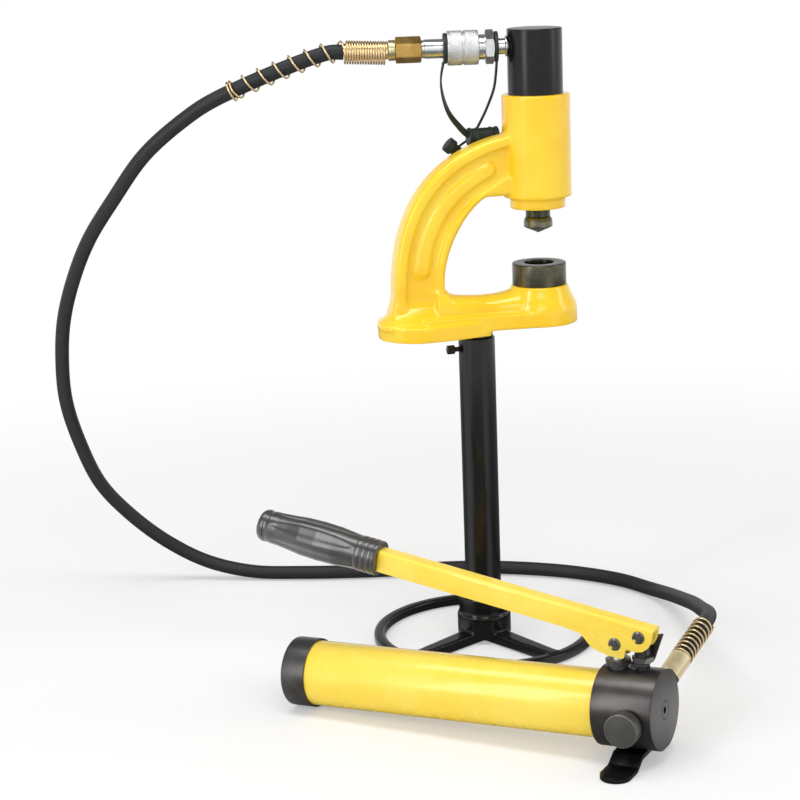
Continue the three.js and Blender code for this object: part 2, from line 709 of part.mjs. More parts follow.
function jawPlan() {
  const shape = new THREE.Shape();
  shape.moveTo(-FOOT_CENTRE, -WAIST);
  shape.lineTo(WAIST_X, -WAIST);
  shape.quadraticCurveTo(PUNCH_X - jawRadius, -WAIST, PUNCH_X, -jawRadius);
  shape.absarc(PUNCH_X, 0, jawRadius, -Math.PI / 2, Math.PI / 2, false);
  shape.quadraticCurveTo(PUNCH_X - jawRadius, WAIST, WAIST_X, WAIST);
  shape.lineTo(-FOOT_CENTRE, WAIST);
  return shape;
}

function footPlan() {
  const shape = new THREE.Shape();
  shape.absarc(-FOOT_CENTRE, 0, FOOT_RADIUS, Math.PI / 2, 3 * Math.PI / 2, false);
  shape.quadraticCurveTo(columnFace + CAST_EDGE, -FOOT_RADIUS, WAIST_X, -WAIST + CAST_EDGE);
  shape.lineTo(WAIST_X, WAIST - CAST_EDGE);
  shape.quadraticCurveTo(columnFace + CAST_EDGE, FOOT_RADIUS, -FOOT_CENTRE, FOOT_RADIUS);
  return shape;
}

const ROUND_POINTS = 16;
const DOME = 0.8;

// The arm of the jaw above its flange: a rounded back that dips and rises to the seat
function jawArm() {
  const rise = seatTop - jawTop;
  const base = jawBottom + CAST_EDGE;
  return solid(loft(CREST_shares.map(([across, up, wide]) => {
    const x = columnFace + across * THROAT_DEPTH;
    const half = wide * WAIST;
    const crest = jawTop + up * rise;
    return Array.from({ length: ROUND_POINTS }, (_, k) => {
      const angle = Math.PI * k / (ROUND_POINTS - 3);
      if (k >= ROUND_POINTS - 2) return new THREE.Vector3(x, k === ROUND_POINTS - 2 ? -half : half, base);
      const share = Math.abs(Math.sin(angle)) ** DOME;
      return new THREE.Vector3(x, half * Math.cos(angle), jawTop + (crest - jawTop) * share);
    });
  })));
}

function seatBoss() {
  const rise = seatTop - jawTop;
  const spread = jawRadius - CAST_EDGE - seatRadius;
  const side = BOSS_shares.map(([out, up]) => [seatRadius + out * spread, jawTop + up * rise]);
  return solid(aboutPunch(turned([[0, side[0][1]], ...side, [0, seatTop]], FINE)));
}

function columnRoot() {
  const rise = seatTop - jawTop;
  const middle = (columnFace - COLUMN_BACK) / 2;
  const halfDepth = (COLUMN_BACK + columnFace) / 2;
  return solid(loft(ROOT_shares.map(([up, deep, wide]) => {
    return Array.from({ length: 2 * ROUND_POINTS }, (_, k) => {
      const angle = 2 * Math.PI * k / (2 * ROUND_POINTS);
      const [c, s] = [Math.cos(angle), Math.sin(angle)];
      const square = (1 / Math.max(Math.abs(c), Math.abs(s)) + 1) / 2;
      return new THREE.Vector3(middle + halfDepth * deep * c * square, ARCH_WIDTH / 2 * wide * s * square,
        jawTop + up * rise);
    });
  })));
}

function cFrame() {
  const flange = slab(jawPlan(), JAW_FLANGE, CAST_EDGE, 1, 8).translate(0, 0, jawBottom + JAW_FLANGE / 2);
  const foot = slab(footPlan(), FOOT_THICKNESS, CAST_EDGE, 1, 8);
  foot.translate(0, 0, footBottom + FOOT_THICKNESS / 2);
  const barrel = rod(barrelRadius, barrelBottom, barrelTop, FINE, CAST_EDGE);
  const skirt = rod(skirtRadius, skirtBottom, barrelBottom + CAST_EDGE, FINE, EDGE);
  const hollow = pocket();
  const pocketShift = ARCH_WIDTH / 2 + OVERRUN;
  const arch = cut(archSlab(), hollow.translate([0, -pocketShift, 0]), hollow.translate([0, pocketShift, 0]));
  const casting = joined(arch, solid(flange), solid(foot), jawArm(), seatBoss(), columnRoot(),
    solid(aboutPunch(barrel)), solid(aboutPunch(skirt)));
  const bores = turned([[0, skirtBottom - OVERRUN], [BUSH_RADIUS + GAP, skirtBottom - OVERRUN],
    [BUSH_RADIUS + GAP, cylinderFloor], [CYLINDER_RADIUS + GAP, cylinderFloor],
    [CYLINDER_RADIUS + GAP, barrelTop + OVERRUN], [0, barrelTop + OVERRUN]], FINE);
  const seatFloor = seatTop - DIE_SPIGOT_LENGTH;
  const seat = turned([[0, jawBottom - OVERRUN], [slugRadius, jawBottom - OVERRUN], [slugRadius, seatFloor],
    [dieSpigot + GAP, seatFloor], [dieSpigot + GAP, seatTop + OVERRUN], [0, seatTop + OVERRUN]], FINE);
  const stud = rod(STUD_RADIUS + GAP, footBottom - OVERRUN, footBottom + STUD_LENGTH + GAP, FINE);
  const screw = dieScrewAxis(rod(SET_SCREW + GAP, dieSpigot, jawRadius + OVERRUN, COARSE));
  return cut(casting, solid(aboutPunch(bores)), solid(aboutPunch(seat)), solid(stud), solid(screw));
}

const dieScrewHeight = seatTop - DIE_SPIGOT_LENGTH / 2;
const dieScrewAxis = (geometry) => aboutPunch(alongY(geometry).translate(0, 0, dieScrewHeight));
piece(stand, 'c_frame', cFrame(), YELLOW);

// Ram cylinder, bush, piston, ram and return spring

const port = new THREE.Group();
port.position.set(PUNCH_X, 0, portHeight);
port.rotation.set(0, Math.PI / 2, PORT_TURN, 'ZYX');
stand.add(port);
port.updateMatrix();
const portAxis = (geometry) => geometry.applyMatrix4(port.matrix);
const bushTop = cylinderFloor + GAP + BUSH_HEIGHT;

function ramCylinder() {
  const bottom = bushTop + GAP;
  const crown = cylinderTop - CYLINDER_CROWN;
  const cup = turned([[0, crown], [cylinderBore, crown], [cylinderBore, bottom], [CYLINDER_RADIUS, bottom],
    [CYLINDER_RADIUS, cylinderTop - EDGE], [CYLINDER_RADIUS - EDGE, cylinderTop], [0, cylinderTop]], FINE);
  const hole = portAxis(rod(PORT_RADIUS, cylinderBore / 2, CYLINDER_RADIUS + OVERRUN, MEDIUM));
  return cut(solid(aboutPunch(cup)), solid(hole));
}

function guideBush() {
  const bottom = skirtBottom + EDGE + WIPER_HEIGHT + GAP;
  const inner = ROD_RADIUS + GAP;
  return solid(aboutPunch(turned([[inner, bottom], [BUSH_RADIUS, bottom], [BUSH_RADIUS, cylinderFloor + GAP],
    [bushFlange, cylinderFloor + GAP], [bushFlange, bushTop], [inner, bushTop], [inner, bottom]], MEDIUM)));
}

function piston() {
  const radius = cylinderBore - PISTON_FIT;
  const waist = radius - SEAL_DEPTH;
  const socket = ROD_STUD + GAP;
  const ceiling = pistonBottom + ROD_STUD_LENGTH + GAP;
  return solid(aboutPunch(turned([[0, ceiling], [socket, ceiling], [socket, pistonBottom],
    [radius, pistonBottom], [radius, sealBottom], [waist, sealBottom], [waist, sealBottom + SEAL_HEIGHT],
    [radius, sealBottom + SEAL_HEIGHT], [radius, pistonTop - EDGE], [radius - EDGE, pistonTop],
    [0, pistonTop]], MEDIUM)));
}

function ramRod() {
  const socket = PUNCH_SHANK + GAP;
  const ceiling = rodBottom + PUNCH_SHANK_LENGTH + GAP;
  const shoulder = pistonBottom - GAP;
  const bar = turned([[0, ceiling], [socket, ceiling], [socket, rodBottom], [ROD_RADIUS, rodBottom],
    [ROD_RADIUS, shoulder], [ROD_STUD, shoulder], [ROD_STUD, pistonBottom + ROD_STUD_LENGTH],
    [0, pistonBottom + ROD_STUD_LENGTH]], MEDIUM);
  const screw = punchScrewAxis(rod(SET_SCREW / 2 + GAP, PUNCH_SHANK, ROD_RADIUS + OVERRUN, COARSE));
  return cut(solid(aboutPunch(bar)), solid(screw));
}

function punch() {
  const edge = punchTip + PUNCH_CONE;
  const top = rodBottom - GAP;
  return solid(aboutPunch(turned([[0, punchTip], [PUNCH_RADIUS - EDGE, edge - EDGE], [PUNCH_RADIUS, edge],
    [PUNCH_RADIUS, top - PUNCH_NECK], [ROD_RADIUS, top], [PUNCH_SHANK, top],
    [PUNCH_SHANK, rodBottom + PUNCH_SHANK_LENGTH], [0, rodBottom + PUNCH_SHANK_LENGTH]], MEDIUM)));
}

function die() {
  const bottom = seatTop - DIE_SPIGOT_LENGTH + GAP;
  const shoulder = seatTop + GAP;
  const land = dieTop - DIE_LAND;
  return solid(aboutPunch(turned([[dieRelief, bottom], [dieSpigot, bottom], [dieSpigot, shoulder],
    [DIE_RADIUS, shoulder], [DIE_RADIUS, dieTop - EDGE], [DIE_RADIUS - EDGE, dieTop], [dieBore, dieTop],
    [dieBore, land], [dieRelief, land - OVERRUN], [dieRelief, bottom]], FINE)));
}

const punchScrewAxis = (geometry) => aboutPunch(alongY(geometry).translate(0, 0, rodBottom + ROD_RADIUS / 3));

function returnSpring() {
  const from = bushTop + GAP + RETURN_WIRE;
  const to = pistonBottom - GAP - RETURN_WIRE;
  const line = new THREE.LineCurve3(new THREE.Vector3(PUNCH_X, 0, from), new THREE.Vector3(PUNCH_X, 0, to));
  const path = (along) => ({
    centre: line.getPoint(along),
    side: new THREE.Vector3(1, 0, 0),
    up: new THREE.Vector3(0, 1, 0),
  });
  const at = (turn) => ({ along: turn / RETURN_TURNS, radius: RETURN_RADIUS });
  const points = coil(path, RETURN_TURNS, at);
  return solid(wire(points, RETURN_WIRE, CURL_SIDES));
}

piece(stand, 'ram_cylinder', ramCylinder(), BLACK);
piece(stand, 'guide_bush', guideBush(), BRONZE);
piece(stand, 'rod_wiper', solid(aboutPunch(ring(ROD_RADIUS + GAP, WIPER_RADIUS, skirtBottom + EDGE,
  skirtBottom + EDGE + WIPER_HEIGHT, MEDIUM))), RUBBER);
piece(stand, 'piston', piston(), TOOL_STEEL);
piece(stand, 'piston_seal', solid(aboutPunch(ring(cylinderBore - SEAL_DEPTH, cylinderBore - PISTON_FIT,
  sealBottom + GAP, sealBottom + SEAL_HEIGHT - GAP, MEDIUM))), RUBBER);
piece(stand, 'ram_rod', ramRod(), TOOL_STEEL);
piece(stand, 'return_spring', returnSpring(), TOOL_STEEL);
piece(stand, 'punch', punch(), TOOL_STEEL);
piece(stand, 'punch_set_screw', solid(punchScrewAxis(rod(SET_SCREW / 2, PUNCH_SHANK + GAP,
  PUNCH_SHANK + GAP + PUNCH_SCREW_LENGTH, COARSE))), TOOL_STEEL);
piece(stand, 'die', die(), TOOL_STEEL);
piece(stand, 'die_set_screw', solid(dieScrewAxis(rod(SET_SCREW, dieSpigot + GAP,
  dieSpigot + GAP + DIE_SCREW_LENGTH, COARSE))), TOOL_STEEL);

// Quick coupler and hose end, each turned about the coupler line

const nutStart = nippleEnd + GAP;
const nutEnd = nutStart + NUT_LENGTH;
const insertEnd = nutEnd + GAP + INSERT_COLLAR;
const ferruleStart = insertEnd + GAP;
const ferruleEnd = ferruleStart + FERRULE_LENGTH;

function inletAdapter() {
  const r = BORE_RADIUS;
  const thread = PORT_RADIUS - GAP;
  return solid(turned([[r, adapterStart], [thread, adapterStart], [thread, adapterFlange],
    [ADAPTER_FLANGE_RADIUS, adapterFlange], [ADAPTER_FLANGE_RADIUS, adapterBody],
    [ADAPTER_BODY_RADIUS, adapterBody], [ADAPTER_BODY_RADIUS, adapterShoulder], [thread, adapterShoulder],
    [thread, adapterEnd], [r, adapterEnd], [r, adapterStart]], MEDIUM));
}

function couplerBody() {
  const hex = rod(COUPLER_HEX_RADIUS, adapterShoulder + GAP, couplerNeck, HEX, EDGE);
  const sleeveEnd = collarEnd - EDGE;
  const sleeve = turned([[0, couplerNeck - OVERRUN], [COUPLER_NECK_RADIUS, couplerNeck - OVERRUN],
    [COUPLER_NECK_RADIUS, collarStart - GAP], [COLLAR_BORE - GAP, collarStart - GAP],
    [COLLAR_BORE - GAP, sleeveEnd], [0, sleeveEnd]], MEDIUM);
  const bores = turned([[0, adapterShoulder - OVERRUN], [PORT_RADIUS, adapterShoulder - OVERRUN],
    [PORT_RADIUS, adapterEnd + GAP], [BORE_RADIUS, adapterEnd + GAP], [BORE_RADIUS, socketStart],
    [SOCKET_RADIUS, socketStart], [SOCKET_RADIUS, collarEnd + OVERRUN], [0, collarEnd + OVERRUN]], MEDIUM);
  return cut(joined(solid(hex), solid(sleeve)), solid(bores));
}

function couplerCollar() {
  const middle = (collarStart + collarEnd) / 2;
  const [r, low] = [COLLAR_RADIUS, COLLAR_RADIUS - EDGE];
  const half = COLLAR_GROOVE / 2;
  return solid(turned([[COLLAR_BORE, collarStart], [low, collarStart], [r, collarStart + EDGE],
    [r, middle - half], [low, middle - half], [low, middle + half], [r, middle + half],
    [r, collarEnd - EDGE], [low, collarEnd], [COLLAR_BORE, collarEnd], [COLLAR_BORE, collarStart]], MEDIUM));
}

function couplerNipple() {
  const shoulder = collarEnd - GAP;
  const nose = SOCKET_RADIUS - GAP;
  const socketFloor = nippleEnd - STUB_LENGTH - GAP;
  return solid(turned([[BORE_RADIUS, nippleStart], [nose, nippleStart], [nose, shoulder],
    [NIPPLE_RADIUS, shoulder], [NIPPLE_RADIUS, nippleEnd - EDGE], [NIPPLE_RADIUS - EDGE, nippleEnd],
    [STUB_RADIUS + GAP, nippleEnd], [STUB_RADIUS + GAP, socketFloor], [BORE_RADIUS, socketFloor],
    [BORE_RADIUS, nippleStart]], MEDIUM));
}

function adapterNut() {
  const hex = rod(NUT_RADIUS, nutStart, nutEnd, HEX, EDGE);
  const stub = rod(STUB_RADIUS, nippleEnd - STUB_LENGTH, nutStart + EDGE, MEDIUM);
  const through = rod(BORE_RADIUS, nippleEnd - STUB_LENGTH - OVERRUN, nutEnd, COARSE);
  const socket = rod(STUB_RADIUS + GAP, nutEnd - STUB_LENGTH - GAP, nutEnd + OVERRUN, MEDIUM);
  return cut(joined(solid(hex), solid(stub)), solid(through), solid(socket));
}

function hoseInsert() {
  return solid(turned([[0, nutEnd - STUB_LENGTH], [STUB_RADIUS, nutEnd - STUB_LENGTH],
    [STUB_RADIUS, nutEnd + GAP], [INSERT_RADIUS, nutEnd + GAP], [INSERT_RADIUS, insertEnd],
    [TAIL_RADIUS, insertEnd], [TAIL_RADIUS, insertEnd + TAIL_LENGTH], [0, insertEnd + TAIL_LENGTH]], MEDIUM));
}

function ferrule(radius, from, to, tailEnd) {
  const bore = TAIL_RADIUS + GAP;
  return solid(turned([[0, tailEnd + GAP], [bore, tailEnd + GAP], [bore, from], [radius - EDGE, from],
    [radius, from + EDGE], [radius, to - EDGE], [radius - EDGE, to], [0, to]], MEDIUM));
}

piece(port, 'inlet_adapter', inletAdapter(), ZINC);
piece(port, 'coupler_body', couplerBody(), ZINC);
piece(port, 'coupler_collar', couplerCollar(), ZINC);
piece(port, 'coupler_nipple', couplerNipple(), ZINC);
piece(port, 'adapter_nut', adapterNut(), BRASS);
piece(port, 'hose_insert', hoseInsert(), ZINC);
piece(port, 'ferrule_punch_end', ferrule(FERRULE_RADIUS, ferruleStart, ferruleEnd,
  insertEnd + TAIL_LENGTH), BRASS);

// Dust cap and dust plug, hung behind the arch on rubber straps

const capRingStart = collarEnd + GAP;
const plugRingStart = adapterShoulder - STRAP_RING_WIDTH - GAP;

// A place given in shares of the strap's drop from the middle of its ring
function hung(ringStart, [across, back, down]) {
  const middle = new THREE.Vector3(0, 0, ringStart + STRAP_RING_WIDTH / 2).applyMatrix4(port.matrix);
  return middle.add(new THREE.Vector3(across, back, down).multiplyScalar(STRAP_DROP));
}

function strap(ringStart, shares, width) {
  const points = shares.map((share) => hung(ringStart, share));
  const curve = new THREE.CatmullRomCurve3(points, false, 'centripetal');
  const section = rectangle(width, STRAP_THICKNESS);
  return solid(new THREE.ExtrudeGeometry(section, { steps: 14, bevelEnabled: false, extrudePath: curve }));
}

function strapRing(inner, from) {
  return solid(portAxis(ring(inner + GAP, STRAP_RING, from, from + STRAP_RING_WIDTH, MEDIUM)));
}

function dustCap() {
  const middle = hung(capRingStart, CAP_PLACE_shares);
  const cup = alongX(rod(CAP_RUBBER_RADIUS, -CAP_RUBBER_LENGTH / 2, CAP_RUBBER_LENGTH / 2, MEDIUM, EDGE));
  return joined(strapRing(NIPPLE_RADIUS, capRingStart), strap(capRingStart, CAP_STRAP_shares, STRAP_WIDTH),
    movedSolid(solid(cup), middle.x, middle.y, middle.z));
}

function dustPlug() {
  const middle = hung(plugRingStart, PLUG_PLACE_shares);
  const plug = rod(PLUG_RUBBER_RADIUS, -PLUG_RUBBER_LENGTH / 2, PLUG_RUBBER_LENGTH / 2, MEDIUM, EDGE);
  plug.rotateY(-PLUG_LEAN);
  return joined(strapRing(ADAPTER_BODY_RADIUS, plugRingStart),
    strap(plugRingStart, PLUG_STRAP_shares, STRAP_WIDTH / 2),
    movedSolid(solid(plug), middle.x, middle.y, middle.z));
}

piece(stand, 'dust_cap', dustCap(), STRAP);
piece(stand, 'dust_plug', dustPlug(), STRAP);

// Hand pump: its own frame has X along the tube towards the head, Y to the back and Z up

const level = new THREE.Group();
level.position.set(POST_X + PUMP_X, POST_Y + PUMP_Y, 0);
level.rotation.z = PUMP_TURN;
machine.add(level);
const pumpTilt = Math.asin((headRadius + HEAD_LIFT - endCapRadius) / PUMP_LENGTH);
const capHeight = endCapRadius * Math.cos(pumpTilt);
const pump = new THREE.Group();
pump.position.z = capHeight;
pump.rotation.y = -pumpTilt;
level.add(pump);
const fromLevel = (geometry) => geometry.translate(0, 0, -capHeight).rotateY(pumpTilt);
const at = (x, y, z, geometry) => geometry.translate(x, y, z);
const headStart = PUMP_LENGTH - HEAD_LENGTH;
const tubeBore = TUBE_RADIUS - TUBE_WALL;

function endCap() {
  const lip = TUBE_RADIUS + GAP;
  return solid(alongX(turned([[0, 0], [endCapRadius - CAST_EDGE, 0], [endCapRadius, CAST_EDGE],
    [endCapRadius, END_CAP_LENGTH - EDGE], [endCapRadius - EDGE, END_CAP_LENGTH], [lip, END_CAP_LENGTH],
    [lip, END_CAP_WALL], [0, END_CAP_WALL]], FINE)));
}

function bladder() {
  const [out, wall] = [bladderRadius, BLADDER_WALL];
  const neckEnd = headStart - HEAD_SPIGOT + BLADDER_NECK;
  const shoulder = headStart - HEAD_SPIGOT - out;
  return solid(alongX(turned([[0, BLADDER_START], [out / 2, BLADDER_START], [out, BLADDER_START + out],
    [out, shoulder], [BLADDER_NECK, shoulder + out - wall], [BLADDER_NECK, neckEnd],
    [BLADDER_NECK - wall, neckEnd], [BLADDER_NECK - wall, shoulder + out - wall], [out - wall, shoulder],
    [out - wall, BLADDER_START + out], [out / 2 - wall, BLADDER_START + wall],
    [0, BLADDER_START + wall]], COARSE)));
}

// The outlet on the far side of the head, with its own axis leaning up a little
const outlet = new THREE.Group();
const outletY = Math.sqrt(headRadius ** 2 - OUTLET_Z ** 2);
outlet.position.set(outletX, outletY, OUTLET_Z);
outlet.rotation.x = OUTLET_TILT - Math.PI / 2;
pump.add(outlet);
outlet.updateMatrix();
const outletAxis = (geometry) => geometry.applyMatrix4(outlet.matrix);

const stripTop = STRIP_RISE + STRIP_THICKNESS;
const screwPlaces = [-STRIP_SCREW_SPACING / 2, STRIP_SCREW_SPACING / 2];
const packingBottom = glandBottom - GLAND_DEPTH - GAP - PACKING_HEIGHT;
const ballCentre = PLUNGER_BOTTOM - GAP - BALL_RADIUS;

function pumpHead() {
  const body = turned([[0, headStart - HEAD_SPIGOT], [tubeBore - GAP, headStart - HEAD_SPIGOT],
    [tubeBore - GAP, headStart], [headRadius - EDGE, headStart], [headRadius, headStart + EDGE],
    [headRadius, PUMP_LENGTH - EDGE], [headRadius - EDGE, PUMP_LENGTH], [0, PUMP_LENGTH]], FINE);
  const ballRoom = BALL_RADIUS + GAP;
  const plungerBore = turned([[0, ballCentre - ballRoom], [ballRoom, ballCentre - ballRoom],
    [ballRoom, PLUNGER_BOTTOM - GAP], [PLUNGER_RADIUS + GAP, PLUNGER_BOTTOM - GAP],
    [PLUNGER_RADIUS + GAP, packingBottom - GAP], [GLAND_SKIRT + GAP, packingBottom - GAP],
    [GLAND_SKIRT + GAP, headRadius + OVERRUN], [0, headRadius + OVERRUN]], MEDIUM);
  const fulcrumBore = rod(FULCRUM_STUD + GAP, FULCRUM_DEPTH, headRadius + OVERRUN, MEDIUM);
  const valveBore = alongY(rod(NEEDLE_RADIUS + GAP, -headRadius - OVERRUN, -NEEDLE_TIP, COARSE));
  const outletBore = outletAxis(rod(PORT_RADIUS, -OUTLET_DEPTH, OVERRUN + OUTLET_STANDOFF, MEDIUM));
  const plugBore = alongX(rod(HEAD_PLUG_RADIUS + GAP, PUMP_LENGTH - HEAD_PLUG_LENGTH - GAP,
    PUMP_LENGTH + OVERRUN, MEDIUM));
  const intake = alongX(rod(BLADDER_NECK + GAP, headStart - HEAD_SPIGOT - OVERRUN,
    headStart - HEAD_SPIGOT + BLADDER_NECK + GAP, COARSE));
  const flat = fromLevel(at(stripX, 0, 0,
    new THREE.BoxGeometry(2 * HEAD_LENGTH, 2 * headRadius, 2 * (stripTop + GAP))));
  const holes = screwPlaces.map((place) => {
    const hole = rod(STRIP_SCREW + GAP, STRIP_RISE, 2 * stripTop, COARSE);
    return solid(fromLevel(at(stripX + place, 0, 0, hole)));
  });
  const bores = [at(plungerX, 0, 0, plungerBore), at(fulcrumX, 0, 0, fulcrumBore),
    at(knobX, 0, KNOB_Z, valveBore), outletBore, plugBore, intake, flat];
  return cut(solid(alongX(body)), ...bores.map(solid), ...holes);
}

function headPlug() {
  const body = alongX(rod(HEAD_PLUG_RADIUS, PUMP_LENGTH - HEAD_PLUG_LENGTH, PUMP_LENGTH, MEDIUM, EDGE / 2));
  const socket = alongX(rod(HEAD_PLUG_SOCKET, PUMP_LENGTH - HEAD_PLUG_LENGTH / 2,
    PUMP_LENGTH + OVERRUN, HEX));
  return cut(solid(body), solid(socket));
}

function plunger() {
  const neck = glandBottom + GLAND_HEIGHT + OVERRUN;
  const stem = at(plungerX, 0, 0, rod(PLUNGER_RADIUS, PLUNGER_BOTTOM, neck + OVERRUN, MEDIUM, EDGE));
  const eye = new THREE.Shape();
  eye.moveTo(plungerX - EYE_RADIUS, neck);
  eye.lineTo(plungerX + EYE_RADIUS, neck);
  eye.lineTo(plungerX + EYE_RADIUS, pinZ);
  eye.absarc(plungerX, pinZ, EYE_RADIUS, 0, Math.PI, false);
  const slotShape = new THREE.Shape();
  const slotRadius = PIN_RADIUS + 2 * GAP;
  slotShape.absarc(plungerX + PIN_SLOT, pinZ, slotRadius, -Math.PI / 2, Math.PI / 2, false);
  slotShape.absarc(plungerX - PIN_SLOT, pinZ, slotRadius, Math.PI / 2, 3 * Math.PI / 2, false);
  const blade = solid(upright(eye, 2 * PLUNGER_FLAT, 0, 1, 10));
  const slot = solid(upright(slotShape, 4 * PLUNGER_FLAT, 0, 1, 6));
  return cut(joined(solid(stem), blade), slot);
}

function glandNut() {
  const top = glandBottom + GLAND_HEIGHT;
  const hex = rod(GLAND_RADIUS, glandBottom, top, HEX, EDGE);
  const skirt = rod(GLAND_SKIRT, glandBottom - GLAND_DEPTH, glandBottom + EDGE, MEDIUM);
  const bore = rod(PLUNGER_RADIUS + GAP, glandBottom - GLAND_DEPTH - OVERRUN, top + OVERRUN, MEDIUM);
  return movedSolid(cut(joined(solid(hex), solid(skirt)), solid(bore)), plungerX);
}

function intakeBall() {
  return solid(new THREE.SphereGeometry(BALL_RADIUS, 12, 8).translate(plungerX, 0, ballCentre));
}

function footStrip() {
  const [thick, rise] = [STRIP_THICKNESS, STRIP_RISE];
  const side = polygon([[-STRIP_REACH, 0], [-STRIP_BEND_END, 0], [-STRIP_BEND_START, rise],
    [STRIP_BACK, rise], [STRIP_BACK, rise + thick], [-STRIP_BEND_START, rise + thick],
    [-STRIP_BEND_END, thick], [-STRIP_REACH, thick]]);
  const bent = slab(side, STRIP_WIDTH).rotateX(Math.PI / 2).rotateZ(Math.PI / 2);
  const plan = new THREE.Shape();
  const half = STRIP_WIDTH / 2;
  plan.moveTo(-half, STRIP_BACK);
  plan.lineTo(-half, half - STRIP_REACH);
  plan.absarc(0, half - STRIP_REACH, half, Math.PI, 2 * Math.PI, false);
  plan.lineTo(half, STRIP_BACK);
  const shaped = solid(bent).intersect(solid(slab(plan, 4 * (rise + thick))));
  const holes = screwPlaces.map((place) => {
    return solid(at(place, 0, 0, rod(STRIP_SCREW + GAP, 0, 2 * stripTop, COARSE)));
  });
  return movedSolid(cut(shaped, ...holes), stripX);
}

function footScrew(place) {
  const headTop = STRIP_RISE - GAP;
  const headBottom = headTop - STRIP_SCREW;
  return solid(at(stripX + place, 0, 0, turned([[0, headBottom], [STRIP_SCREW_HEAD, headBottom],
    [STRIP_SCREW_HEAD, headTop], [STRIP_SCREW, headTop], [STRIP_SCREW, 2 * stripTop - EDGE],
    [0, 2 * stripTop - EDGE]], COARSE)));
}

piece(pump, 'reservoir_end_cap', endCap(), GUNMETAL);
piece(pump, 'reservoir_tube', solid(alongX(ring(tubeBore, TUBE_RADIUS, END_CAP_WALL + GAP,
  headStart - GAP, FINE))), PALE_YELLOW);
piece(pump, 'reservoir_bladder', bladder(), RUBBER);
piece(pump, 'pump_head', pumpHead(), GUNMETAL);
piece(pump, 'head_plug', headPlug(), GUNMETAL);
piece(pump, 'plunger', plunger(), TOOL_STEEL);
piece(pump, 'gland_nut', glandNut(), GUNMETAL);
piece(pump, 'gland_packing', movedSolid(solid(ring(PLUNGER_RADIUS + GAP, GLAND_SKIRT, packingBottom,
  packingBottom + PACKING_HEIGHT, MEDIUM)), plungerX), RUBBER);
piece(pump, 'intake_ball', intakeBall(), ZINC);
piece(level, 'foot_strip', footStrip(), BLACK);
piece(level, 'foot_screw_inner', footScrew(screwPlaces[0]), TOOL_STEEL);
piece(level, 'foot_screw_outer', footScrew(screwPlaces[1]), TOOL_STEEL);

// Release valve: a knob on a needle screwed into the side of the head

function releaseKnob() {
  const body = rod(KNOB_RADIUS, -knobStart - KNOB_LENGTH, -knobStart, FINE, EDGE);
  const socket = rod(NEEDLE_RADIUS + GAP, -knobStart - KNOB_LENGTH / 2, -knobStart + OVERRUN, COARSE);
  return movedSolid(cut(solid(alongY(body)), solid(alongY(socket))), knobX, 0, KNOB_Z);
}

function releaseNeedle() {
  return solid(at(knobX, 0, KNOB_Z, alongY(turned([[0, GAP - knobStart - KNOB_LENGTH / 2],
    [NEEDLE_RADIUS, GAP - knobStart - KNOB_LENGTH / 2], [NEEDLE_RADIUS, -NEEDLE_TIP - NEEDLE_RADIUS],
    [0, -NEEDLE_TIP - GAP]], COARSE))));
}

piece(pump, 'release_knob', releaseKnob(), GUNMETAL);
piece(pump, 'release_needle', releaseNeedle(), TOOL_STEEL);

// Fulcrum: a stud and link that carry the lever, a nut, and the plate beside them

const nutBottom = plateBottom + PLATE_THICKNESS + GAP;
const nutTop = nutBottom + FULCRUM_NUT_HEIGHT;

function fulcrumLink() {
  const stud = at(fulcrumX, 0, 0, rod(FULCRUM_STUD, FULCRUM_DEPTH + GAP, nutTop + OVERRUN, MEDIUM));
  const shape = new THREE.Shape();
  shape.moveTo(fulcrumX - LINK_EYE, nutTop + GAP);
  shape.lineTo(fulcrumX + LINK_EYE, nutTop + GAP);
  shape.lineTo(fulcrumX + LINK_EYE, fulcrumZ);
  shape.absarc(fulcrumX, fulcrumZ, LINK_EYE, 0, Math.PI, false);
  const block = solid(upright(shape, 2 * PLUNGER_FLAT, 0, 1, 8));
  const hole = alongY(rod(PIN_RADIUS + 2 * GAP, -2 * PLUNGER_FLAT, 2 * PLUNGER_FLAT, COARSE));
  return cut(joined(solid(stud), block), solid(at(fulcrumX, 0, fulcrumZ, hole)));
}

function fulcrumNut() {
  const bore = rod(FULCRUM_STUD + GAP, nutBottom - OVERRUN, nutTop + OVERRUN, MEDIUM);
  return movedSolid(cut(solid(rod(FULCRUM_NUT, nutBottom, nutTop, HEX, EDGE)), solid(bore)), fulcrumX);
}

function fulcrumPlate() {
  const wingY = LEVER_WIDTH / 2 + PIN_HEAD_THICKNESS + 2 * GAP;
  const tabLength = wingY + FULCRUM_NUT;
  const outline = PLATE_shares.map(([across, rise]) => [fulcrumX + across * FULCRUM_NUT,
    plateBottom + rise * (fulcrumZ - plateBottom)]);
  const [left, right] = [outline[0][0], outline[1][0]];
  const tab = at((left + right) / 2, wingY - tabLength / 2, plateBottom + PLATE_THICKNESS / 2,
    new THREE.BoxGeometry(right - left, tabLength, PLATE_THICKNESS));
  const wing = upright(polygon(outline), PLATE_THICKNESS).translate(0, wingY + PLATE_THICKNESS / 2, 0);
  const hole = at(fulcrumX, 0, 0, rod(FULCRUM_STUD + GAP, plateBottom - OVERRUN, nutTop, MEDIUM));
  const overlap = at(0, -EDGE / 2, 0, wing.clone());
  return cut(joined(solid(tab), solid(wing), solid(overlap)), solid(hole));
}

piece(pump, 'fulcrum_link', fulcrumLink(), TOOL_STEEL);
piece(pump, 'fulcrum_nut', fulcrumNut(), TOOL_STEEL);
piece(pump, 'fulcrum_plate', fulcrumPlate(), BLACK);

// Lever, built level about the fulcrum pin and then sloped

